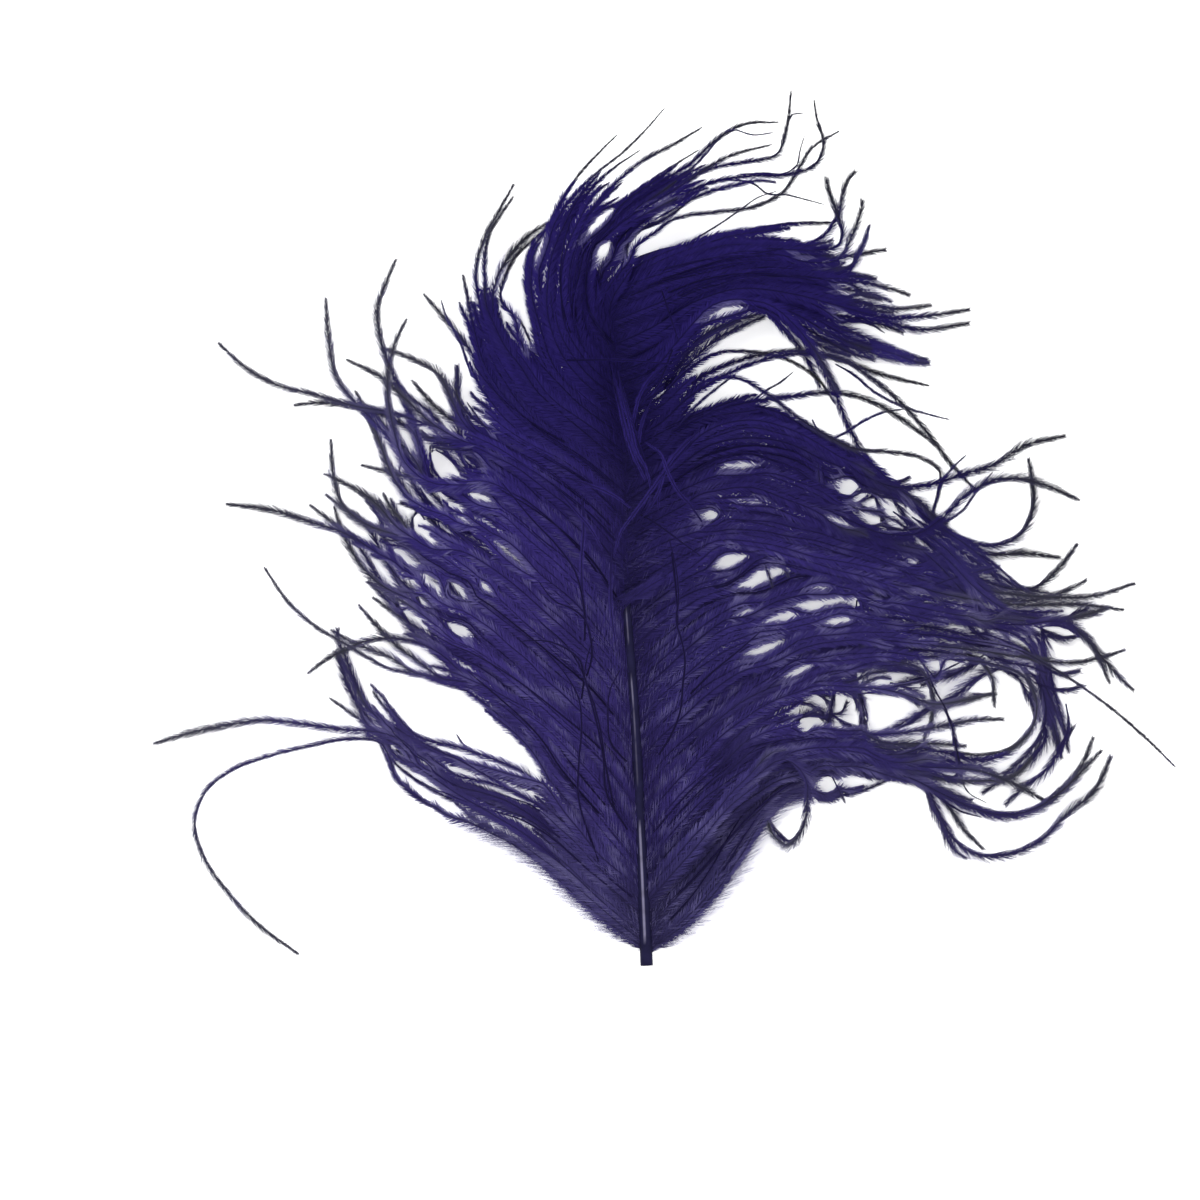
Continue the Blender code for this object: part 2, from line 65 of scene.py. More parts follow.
TIP_REST = 0.25                 # how far the middle of a resting tip is over its own underside
LEAST_HEIGHT = 0.06             # nothing goes lower over the table
PATH_STEP = 0.5                 # between the points that a barb's path is worked out at
LEAST_PLACES = 8                # a path has at least so many of them
STRAY_PLACES = 16               # and a stray barb's
GATHER_SPAN = (0.0, 26.0)       # where barbs gather along their lane
ROOT_ASIDE = 1.6                # at the shaft they are so many times further from it than later
COMPANION_LEAST = 0.4           # the shortest companion, as a share of its lane
HAIR_LEAST = 0.2                # and beside a hair
COMPANION_MOST = 0.96           # and the longest
END_SPLAY = 1.0                 # how far a shorter barb may turn away at its end
SPLAY_RANGE = (0.2, 1.0)        # as shares of that
SPLAY_LENGTH = 14.0             # the length of the end that turns away
FILL_SPACING = 0.9              # between the barbs that fill the vane between two lanes
FILL_APART = 80                 # they go by this percentile of how far the lanes are apart
FILL_FROM = 4.0                 # from here on
FILL_ENDS_FROM = 12.0           # and end where the lanes part, but not before this
FILL_MOST = 0.97                # by this share of the way to there
FILL_RANGE = (0.9, 1.0)         # or a little before
NEIGHBOURS = 9.0                # lanes that leave the shaft further apart aren't filled between
LAYER_SPREAD = 0.7              # how far barbs lie over and under each other
LAYER_RANGE = (-1.0, 0.7)       # down and up, as shares of that
LAYER_SPAN = (0.0, 12.0)
SWAY = 0.28                     # how far a barb wanders sideways
SWAY_SPAN = (0.0, 22.0)
LONG_WAVES = (26.0, 46.0)       # the lengths of its waves
SHORT_WAVES = (9.0, 17.0)
SHORT_SWAY = 0.4                # how far the short waves go, as a share of the long ones
COVER_SPAN = (66.0, 8.0)        # from here up, barbs lie over the shaft and hide it
COVER_RISE = 1.0                # they start this far over its middle
COVER_ACROSS = 1.4              # and this far on its other side
GAP_MARGIN = 0.3                # how much wider than a gap its barbs part, for their barbules
GAP_BAND = 3.5                  # how far out they give way, as a multiple of the gap's half width
GAP_FADE = 6.0                  # a long barb stops giving way over this length
STRAYS = 9                      # thin dark barbs that lie over each group of locks
STRAY_STARTS = (0.05, 0.35)     # where they start and end, as shares of the way to the free end
STRAY_ENDS = (0.6, 0.95)
STRAY_DRIFT = 3.0               # how far they drift to the side
DRIFT_CURVE = 1.5               # and how late
STRAY_LIFT = (0.6, 0.8)         # how far over the others at the start, and how much more at the end
STRAY_LANES = (3, 2)            # so many of a group's first and last lanes have none

# ---- Barbules, in millimetres unless said otherwise ----------------------------------------------

STEM_STEP = 1.8                 # between the rings of a barb's stem
STEM_ROOT_RADIUS = 0.2
STEM_TIP_RADIUS = 0.08
VANE_PITCH = 0.125              # between neighbouring barbules on one side, inside the vane
FREE_PITCH = 0.07               # and on a barb that runs on alone
FRINGE_PITCH = 0.045            # and in the fringe
PITCH_FROM = 0.8                # it changes from this share of the way to the free end
PITCH_LENGTH = 12.0             # over this length
COVER = 3.0                     # a barbule's width at its base, as a multiple of the pitch
FREE_COVER = 3.4                # and on a barb that runs on alone
THINNER_FROM = 2.6              # those that reach further out are thinner
INNER_REACH = 1.8               # how far barbules stand out sideways near the shaft
LOCK_REACH = 1.28               # and where the barbs of a lock have gathered
LOCK_SPAN = (4.0, 22.0)         # where it goes from the one to the other
ROOT_REACH = 0.85               # right at the root it is this share of that
ROOT_REACH_SPAN = (0.0, 5.0)
OPENING = (0.7, 0.4)            # the span where locks open, as shares of the way to the free end
LONG_TAPER = 12.0               # the last stretch of a long barb, where they get shorter
SHORT_TAPER = 7.0
END_REACH = 0.3                 # how far the very last ones reach, as a share before easing
END_LENGTH = 2.0                # the length over which they get there
STRAY_REACH = 0.2
STRAY_TAPER = 4.0               # a stray barb gets its full reach after a fourth of its way
STRAY_END = 0.2                 # and has this left at its end, as a share before easing
LOOSE_ROOT = 0.1                # a loose barb's reach at its root, as a share before easing
LOOSE_LENGTH = 3.0              # the length over which it gets its full reach
LOOSE_THINS = 0.5               # how much less it is at its end, as a share
REACH_RANGE = (0.75, 1.1)       # the shortest and the longest barbules, as shares of their reach
TUFTS = 0.12                    # how much tufts of them stand out
TUFT_LENGTHS = (2.6, 4.4)
TUFT_STARTS = (0, 6)            # in radians
FRINGE_SPAN = (0.0, 5.0)        # where the fringe at the edge of the vane comes in
FRINGE_ENDS = (34.0, 16.0)      # and where it ends
FRINGE_BACK = 0.7               # how far a fringe barb's barbules reach elsewhere, as a share
FRINGE_FROM = 2.5               # a reach that only the barbules of the fringe have
FRINGE_LEAST = 0.4              # its shortest barbules, as a share of its reach
FRINGE_TUFTS = 0.22             # how much its tufts stand out
FRINGE_CURVE = 1.6              # its short barbules are more common than its long ones
LEAN = 35.0                     # degrees between barbule and barb, inside the vane
FREE_LEAN = 19.0                # and on a barb that runs on alone
LEAN_VARIES = 4.0               # how much it varies, and at most
LEAN_MOST = 9.0
DROOP = -14.0                   # degrees up or down, on average
DROOP_VARIES = 16.0             # how much that varies, and how far down and up at most
DROOP_MOST = (-60.0, 45.0)

# ---- Shades, and how grey and how pale, from 0 to 1 ----------------------------------------------

TONES = (0.8, 1.2)              # of single barbs, where 1 is the dye's own lightness
STRAY_TONES = (0.45, 0.8)
LOOSE_TONES = (0.75, 1.05)
LIGHT_TONE = 0.9                # of loose barbs that lie over the middle of the vane
DARK_TONE = 0.5                 # of loose barbs with barbules shorter than the next value
THIN_REACH = 0.4
STEM_SHADE = 0.5                # of a stem, as a share of its barbules'
BARBULE_SHADES = (0.8, 0.8, 1.5)        # of a barbule, at its base and at its tip
BARBULE_RANGE = (0.85, 1.15)
ROOT_SHADE = 0.6                # of barbs where they leave the shaft
ROOT_SHADE_SPAN = (0.0, 10.0)
PILE_PAINTED_SHADE = 0.36               # painted shade where barbs pile thick near the tip and let less light through
PILE_SHADE_SPAN = (45.0, 60.0)        # by where they leave the shaft
FREE_FROM = 0.9                 # a barb gets grey from this share of the way to its free end
FREE_LENGTH = 12.0
GREY_MORE = 1.2                 # the grey starts so many times its grey length before its end
HAIR_GREY = 55.0                # the grey length of a hair, in millimetres
COMPANION_GREY = 0.55           # how grey a shorter barb's end gets, at most
LOW_GREY = 0.3                  # how grey the lowest barbs are, and fillers at most
LOW_SPAN = (6.0, 16.0)          # by where they leave the shaft
STREAKS = 0.6                   # how pale barbules get in streaks, low in the vane
STREAKS_SPAN = (40.0, 60.0)     # where they end, by where the barb leaves the shaft
STREAK_LENGTHS = (9.0, 30.0)
GAP_PALE = 0.85                 # how pale the tips are that reach into a gap
FRINGE_PALE = (0.25, 0.25, 1.0)         # how pale the fringe is, at its base and at its tips

# ---- Places on the map that the material can be baked to, from 0 to 1 across its band -----------

STEM_ACROSS = (0.45, 0.5, 0.55)
BARBULE_ACROSS = (0.06, 0.06, 0.45)     # away from the middle, at the base and at the tip
BARBULE_ALONG = (-0.001, 0.001, 0.0)

# ---- Dyes ----------------------------------------------------------------------------------------

VIOLET = (0.033, 0.022, 0.122, 1.0)
BLUE_VIOLET = (0.025, 0.019, 0.108, 1.0)
DEEP_VIOLET = (0.021, 0.013, 0.126, 1.0)
SLATE = (0.050, 0.049, 0.073, 1.0)
LILAC = (0.150, 0.135, 0.300, 1.0)
QUILL_DARK = (0.010, 0.009, 0.033, 1.0)
# the pale grey-lilac of the shaft's painted highlight
QUILL_HIGHLIGHT = (0.15, 0.14, 0.22, 1.0)
WHITE = (1.0, 1.0, 1.0, 1.0)
DEEP_FROM = -0.02               # the dye gets deeper between these places of the model, in metres
DEEP_TO = 0.03
DYE_PATCHES = (28.0, 3.0)       # scale and detail of the noise
BARB_GRAIN = (900.0, 2.0)
QUILL_GRAIN = (420.0, 3.0)
PAPER_GRAIN = (60.0, 4.0)
SPECULAR = 0.04
BARB_ROUGHNESS = 0.62
GRAIN_ROUGHNESS = (0.5, 0.78)   # the least and the most that the grain makes of it
QUILL_ROUGHNESS = 0.6
QUILL_STREAKS = (0.45, 1.5)     # the least and the most of the shade along the quill
PAPER_ROUGHNESS = 0.9
PAPER_WHITES = (0.985, 1.0)

# ---- Table, light and camera, in metres ----------------------------------------------------------

TABLE_SIZE = 1.6
TABLE_GLOW = 0.55
SKY = 0.8
KEY_PLACE = (-0.55, 0.45, 1.0)
KEY_SIZE = 0.8
KEY_ENERGY = 10.0               # in watts
FILL_PLACE = (0.7, -0.2, 0.9)
FILL_SIZE = 0.9
FILL_ENERGY = 5.0
VIEW_CENTRE = (-0.0124, -0.0137)
VIEW_WIDTH = 0.228              # the photograph's width, at the feather
VIEW_HEIGHT = 0.006             # the height at which it is that wide
CAMERA_DISTANCE = 1.5
SENSOR = 36.0                   # in millimetres, as lenses are
FAR_CLIP = 10.0

# ---- The shaft's route ---------------------------------------------------------------------------
#
# A route is a list of points, x,y after x,y.  Routes were chosen on the photograph.

SHAFT_ROUTE = [
    0.2,0, -0.3,12, -0.9,25, -1.5,37, -2.1,48, -3.1,61, -3.9,73, -4.3,85, -4.6,98, -5.6,110,
    -6.8,120, -6.5,128, -3.5,133, 2,135.5, 10,137]

# ---- Locks ---------------------------------------------------------------------------------------
#
# root       where the lock leaves the shaft, measured along the shaft from its cut end
# free_from  the point of the route from which its longest barb runs on alone
# lift       how far the middle of the lock arches up
# rest       how high the underside of its tip is over the table
# route      the points that it passes over, from the shaft to the tip
# rim        how far its longest barb's barbules reach up in the picture, where it is an edge there
# fringe     how far they reach down, where it is the vane's lower edge
# fill       how much further than usual the barbs between it and the lock before it run on
# hair       how far they reach at the end of its longest barb, where that is a thin single hair

Lock = namedtuple("Lock", "root free_from lift rest route rim fringe fill hair",
                  defaults=(0, 0, 1, 0))

LEFT = [
    Lock(3, 8, 3, 0, [-7,8, -14,14, -20,19.5, -25.5,23.3, -32,26.6, -39,29.9, -46.3,35.2, -50.8,42.7,
        -57,43.2, -64,41.9, -72,39.9, -79,37.2, -84,33, -85.9,27.5, -84.3,21, -80,14.5, -74,8,
        -66.2,2.2], fringe=4.8, hair=0.9),
    Lock(5.5, 8, 3, 1, [-8,12, -15,18.5, -22,24, -29,28.5, -36,33, -42,37.5, -47,40.5, -51,44.3,
        -55,47.3, -60.3,51], fringe=3, fill=0.55),
    Lock(8, 8, 4, 0, [-7,14.5, -14,21.5, -21,28, -28,33, -35,36.5, -41,40, -46,43.6, -51,44.6,
        -58,45.1, -66,46.2, -73,46.8, -80,45.8, -87,44.3, -93.8,42.3], fill=0.6),
    Lock(10.5, 8, 4, 1, [-10,18.5, -18,26, -26,31, -33,34, -40,37.5, -45,41, -49.5,45.5, -53.5,50,
        -56.2,55, -58.7,59.5], fill=0.6),
    Lock(13, 8, 5, 1.5, [-9,20.5, -15.5,29, -21.5,35.7, -28,39.3, -35,41.4, -41,43, -46,46, -50,49.6,
        -52,52.3], fill=0.5),
    Lock(15.5, 8, 5, 0, [-7,23, -13,30, -19,37, -25.3,42.9, -31.4,48.1, -34.6,50.7, -37.6,53.2,
        -39.9,54.5, -42.8,55.4, -45.4,55.9, -49.2,56.8, -52.8,58.7, -57.6,61.6, -63.1,64.8, -68,69.2,
        -72.8,76], fill=0.5, hair=0.7),
    Lock(18.5, 7, 6, 1, [-8,27.5, -15,35.5, -22,43.5, -29,49.5, -35.9,55.7, -39.1,59.3, -42.2,61.2,
        -45.4,62.1, -49,62.5, -51.3,62.3, -54.3,61.6, -57.2,60.2, -60,58.9, -64.4,55.7], fill=0.7),
    Lock(21.5, 6, 5, 2, [-8,30.5, -16,39.2, -23,46.4, -30,50.9, -36.3,53.6, -41,55.1, -44.6,56.2,
        -46.4,57.4, -47.9,58.5, -50.7,59.7, -54.9,61.2, -60,64], fill=0.7),
    Lock(24.5, 6, 6, 2, [-8,34, -16,42.5, -23.9,48.5, -31,51.9, -35.3,53.6, -39,54.9, -41.6,56.8,
        -43.9,58.5, -46.4,60.2, -48.5,62.1, -52.2,65.9, -54.7,68.8], fill=0.75),
    Lock(27.5, 6, 4, 1, [-8,37, -16,45, -24,52, -31,57, -37,60, -43,64, -47.5,67, -52,70.2]),
    Lock(30.5, 6, 6, 2, [-9,40.5, -17,48, -25,55, -32,60, -38,63.5, -44,68, -49,71, -53,73.2]),
    Lock(33.5, 6, 4, 1, [-9,43.5, -18,51.5, -26,58.5, -33,64, -40,68, -46,70.3, -51,73, -55,77.5,
        -57.3,81.5, -59.4,87.5], fill=0.9),
    Lock(36.5, 7, 6, 0, [-9,46.5, -18,54.8, -26,61.8, -33,67.3, -40,71.5, -46,75.5, -52,79.3,
        -57,82.3, -63,84.3, -71,86.8, -80,88], fill=0.8),
    Lock(39.5, 7, 4, 2, [-9,49.5, -18,58, -26,64.8, -33,70, -40,74.5, -47,77.8, -54,80.5, -59,84,
        -64,87.8]),
    Lock(42.5, 6, 6, 2, [-10,53, -19,61.3, -27,68.5, -34,74.5, -41,79.5, -47,82, -52,83.5, -56,86,
        -61,89.8]),
    Lock(45.5, 6, 5, 1, [-10,56, -19,64.5, -27,72, -35,78.5, -42,81.5, -48,82.5, -53.5,84.3,
        -57.5,87.5, -59.3,92.5, -60,100.3]),
    Lock(48.5, 6, 6, 2, [-10,59, -19,67.3, -27,74.2, -35,79, -42,80.5, -47,83.3, -51.5,88.3, -55.5,91,
        -61.3,93.8]),
    Lock(51.5, 6, 4, 3, [-10,62, -19,70, -27,77, -34,75, -39.7,76.2, -42.8,78.7, -44.5,81.1, -46,84.5,
        -48.5,87.2, -50,90.1]),
    Lock(54.5, 6, 6, 3, [-11,65.3, -19,73, -27,80, -34,84.5, -40,86.5, -45,89, -48.5,94, -50.3,99,
        -52.5,104.5, -55.3,109.5]),
    Lock(57.5, 5, 4, 3, [-11,68.5, -19,76.5, -27,84, -35,89, -41,92.3, -47,93.6, -54.2,95.4]),
    Lock(60.5, 6, 6, 1, [-11,71.8, -19,80, -27,86.5, -34,90, -40,91.5, -43.5,94.5, -47,98.3, -51,103,
        -55,107, -58.8,112, -60.3,119, -61,127.3]),
    Lock(63.5, 6, 5, 2, [-11,75, -20,83.3, -28,88.5, -35,90.5, -40,93.3, -42.8,99, -44.8,105.5,
        -48,112.5, -50.4,119, -51,125.5, -49.5,130, -47.5,134.6]),
    Lock(66.5, 5, 7, 3, [-11,78, -20,86, -28,90.5, -36,91.5, -42,92.5, -45.8,96, -47.8,102, -49,108.5,
        -48.8,114.5, -47.3,119.5, -45.5,123.2]),
    Lock(70, 5, 6, 0, [-12,81, -20,88.3, -27,94.3, -33,98.8, -40,102.3, -48,105.2, -56,106.7,
        -63,108.8, -70,110.6, -76,113.8, -81.5,118.7], hair=0.95, fill=1.5),
    Lock(73, 4, 4, 2, [-12,84, -20,90.8, -28,95.7, -36,98.2, -42,100.7, -50,105, -57,106.9, -62,107.3,
        -67,106.8], fill=1.35),
    Lock(76, 4, 6, 3, [-12,86.3, -20,92.7, -28,97.5, -35,100, -40,102.8, -45.5,107.7, -50,111.8,
        -57,115.5]),
    Lock(79, 4, 5, 3, [-12,88.5, -20,94.5, -28,99, -34,102.5, -36.8,107.5, -39.5,112.7, -44,115.4,
        -50.2,117.7]),
    Lock(82, 4, 4, 4, [-12,90.7, -20,96.2, -27,100, -33,101.8, -39,105.5, -44.5,111.5], fill=0.8),
    Lock(84.5, 4, 5, 4, [-12,92.7, -20,97.8, -27,101.5, -32.5,104, -35.7,108, -35.9,114.3]),
    Lock(87, 5, 5, 2, [-12,94.8, -20,99.8, -26,104.8, -30.5,110.5, -33,116.5, -36,120.5, -42.3,128]),
    Lock(89.5, 6, 6, 3, [-12,96.8, -20,101.8, -26,107.3, -30.5,114, -32.7,121.5, -33.8,127,
        -34.8,131.6]),
    Lock(92, 6, 6, 1, [-12,99, -19.5,104.3, -25,110.3, -29,117.5, -31.3,125, -32.3,132, -30.5,139,
        -27.8,144, -25.1,149], hair=0.8),
    Lock(94.5, 6, 7, 3, [-12,101, -19,106.3, -24,112.5, -27.5,119.5, -29.6,127, -30.6,133.5,
        -29.6,139.5, -27.5,143, -25.2,146.5], hair=0.8),
    Lock(97, 5, 7, 5, [-12,103.3, -18.5,108.5, -23.5,114.8, -27.5,121, -29,127, -28,131.2,
        -26.3,134.3, -23.6,137.7, -20.6,140.1, -17.1,142.1]),
    Lock(99.5, 5, 6, 4, [-12,105.3, -18,110.5, -23,116.5, -26.5,122, -27.6,127.5, -26.6,131.3,
        -24.7,135, -21.6,138, -17.6,141.3], hair=0.9),
]

CREST = [
    Lock(102, 6, 7, 5, [-12,108, -18,114, -21.3,121, -23,129, -21.8,134.5, -18.5,140.5, -16.2,144.8,
        -13,150, -9.5,154, -5.5,158.1], hair=0.5, fill=0.8),
    Lock(104.5, 7, 8, 4, [-12,110.5, -17.3,117, -19.7,124.5, -20.3,132, -18,139.5, -14.8,144.8,
        -9.8,150.2, -4.5,154.5, -0.5,158.5, 3.6,163.3], hair=0.4, fill=0.38),
    Lock(107, 7, 8, 6, [-12,113, -16.3,119, -18,127, -17.5,134, -15,141, -11.5,146.3, -6.5,151.3,
        -1,155.2], hair=0.45, fill=0.7),
    Lock(109, 6, 9, 5, [-12,116, -15,122.5, -15.5,130, -13.8,137, -10.6,143, -6,148.3, -0.5,153,
        5,156, 10.8,159.6], fill=0.7),
    Lock(111, 6, 8, 6, [-11.5,118, -13.5,124.5, -13.5,131, -11.3,138, -8,142.5, -2.5,146.5, 3,150.6,
        10.2,155.3], hair=0.45, fill=0.55),
    Lock(113, 7, 9, 4, [-11.7,120, -12.9,126, -12.3,132.8, -9.6,138.9, -5.3,143.2, 1,147.7, 8,152,
        13.8,157.3, 18.5,160, 25.3,160.6], fill=0.8),
    Lock(115, 7, 8, 2, [-11.2,122, -11.8,128, -10.6,134.5, -7.6,139.8, -2,144.2, 5,148, 12,151.3,
        19,152.8, 24.8,154.2, 26.8,159.5, 27.7,166.8]),
    Lock(117, 6, 9, 5, [-10.5,124, -11,130.2, -9.3,135.5, -6.3,139.7, -2.7,142.2, 1.5,144.7, 8,149,
        15,153.5, 24,156.3], fill=0.9),
    Lock(119, 6, 8, 3, [-8.8,126, -8,132, -5.6,137, -1,141.5, 5,145.2, 12,148.5, 20,150, 27,150.3,
        32.5,152.7, 33.8,156, 32.6,161, 32,165]),
    Lock(121, 5, 7, 4, [-7.8,127.5, -5.5,131, -3.3,133.8, -2.5,136, -0.8,137.6, 1.9,139.3, 4.2,141.2,
        7,142.2, 13,143, 21,144.3, 26,147, 28.5,150.5, 31.5,155.5, 36.8,158.9], hair=0.7, fill=0.6),
]

CURL = [
    Lock(131, 4, 4, 6, [3,135.2, 11,137.8, 19,139.5, 27,141.1, 35.2,141.4], rim=0.45),
    Lock(130, 4, 4, 5, [5,134.5, 14,136.8, 22,137.4, 29.3,136.9, 32.1,137.7, 34.2,139.3, 35.5,141,
        36.5,143.1, 37.1,145.2, 37.6,147.6, 38.4,149.5, 39.8,151.1], rim=0.9, fill=0.9),
    Lock(129, 4, 5, 6, [6,133.5, 15,136, 25,136.3, 33,136, 36.2,136.7, 37.2,138.7, 36.9,141,
        36.1,143.6, 34.9,147, 34.2,150]),
    Lock(127.5, 4, 6, 5, [5,132, 15,134.5, 25,135, 32,133.6, 35.8,133.9, 37.6,135.6, 38.5,137.6,
        39.7,140.2, 40.8,143.2, 41.2,145.7]),
    Lock(126, 4, 6, 5, [5,130.5, 15,133, 25,134, 34,134.3, 40,135.3, 45.6,136.3]),
    Lock(124.5, 4, 5, 4, [4,128.5, 13,131.5, 23,132.8, 33,132.4, 43.3,131]),
    Lock(122.5, 5, 7, 4, [3,126.5, 12,130, 22,131.6, 32,131.1, 41,130, 46,129, 50.3,127.7]),
    Lock(120, 5, 6, 3, [2,124, 10,128, 20,130, 30,129, 39,126.8, 47,125, 54.4,125.8], fill=0.85),
    Lock(117.5, 5, 8.6, 2, [1.5,121.5, 9,126, 18,128.5, 28,127.5, 38,124.9, 46,123.2, 53,123.6,
        61.7,125], fill=0.9),
    Lock(115, 5, 6, 1, [1,118.5, 8,123.5, 17,127, 27,126, 37,123.5, 45,122.8, 51,121.2, 61.6,122.4],
        fill=0.8),
    Lock(112.5, 6, 7, 2, [1,115.5, 7,121, 15,125.8, 24,125.8, 32,123, 39,119.3, 46,117.4, 53.9,115],
        fill=0.75),
    Lock(110, 5, 8, 3, [0.5,112.5, 6,118.5, 13,124, 22,124.9, 28,121, 32,115.8, 35.5,109.5, 38.3,103,
        41.5,97.3, 46.5,91.8]),
]

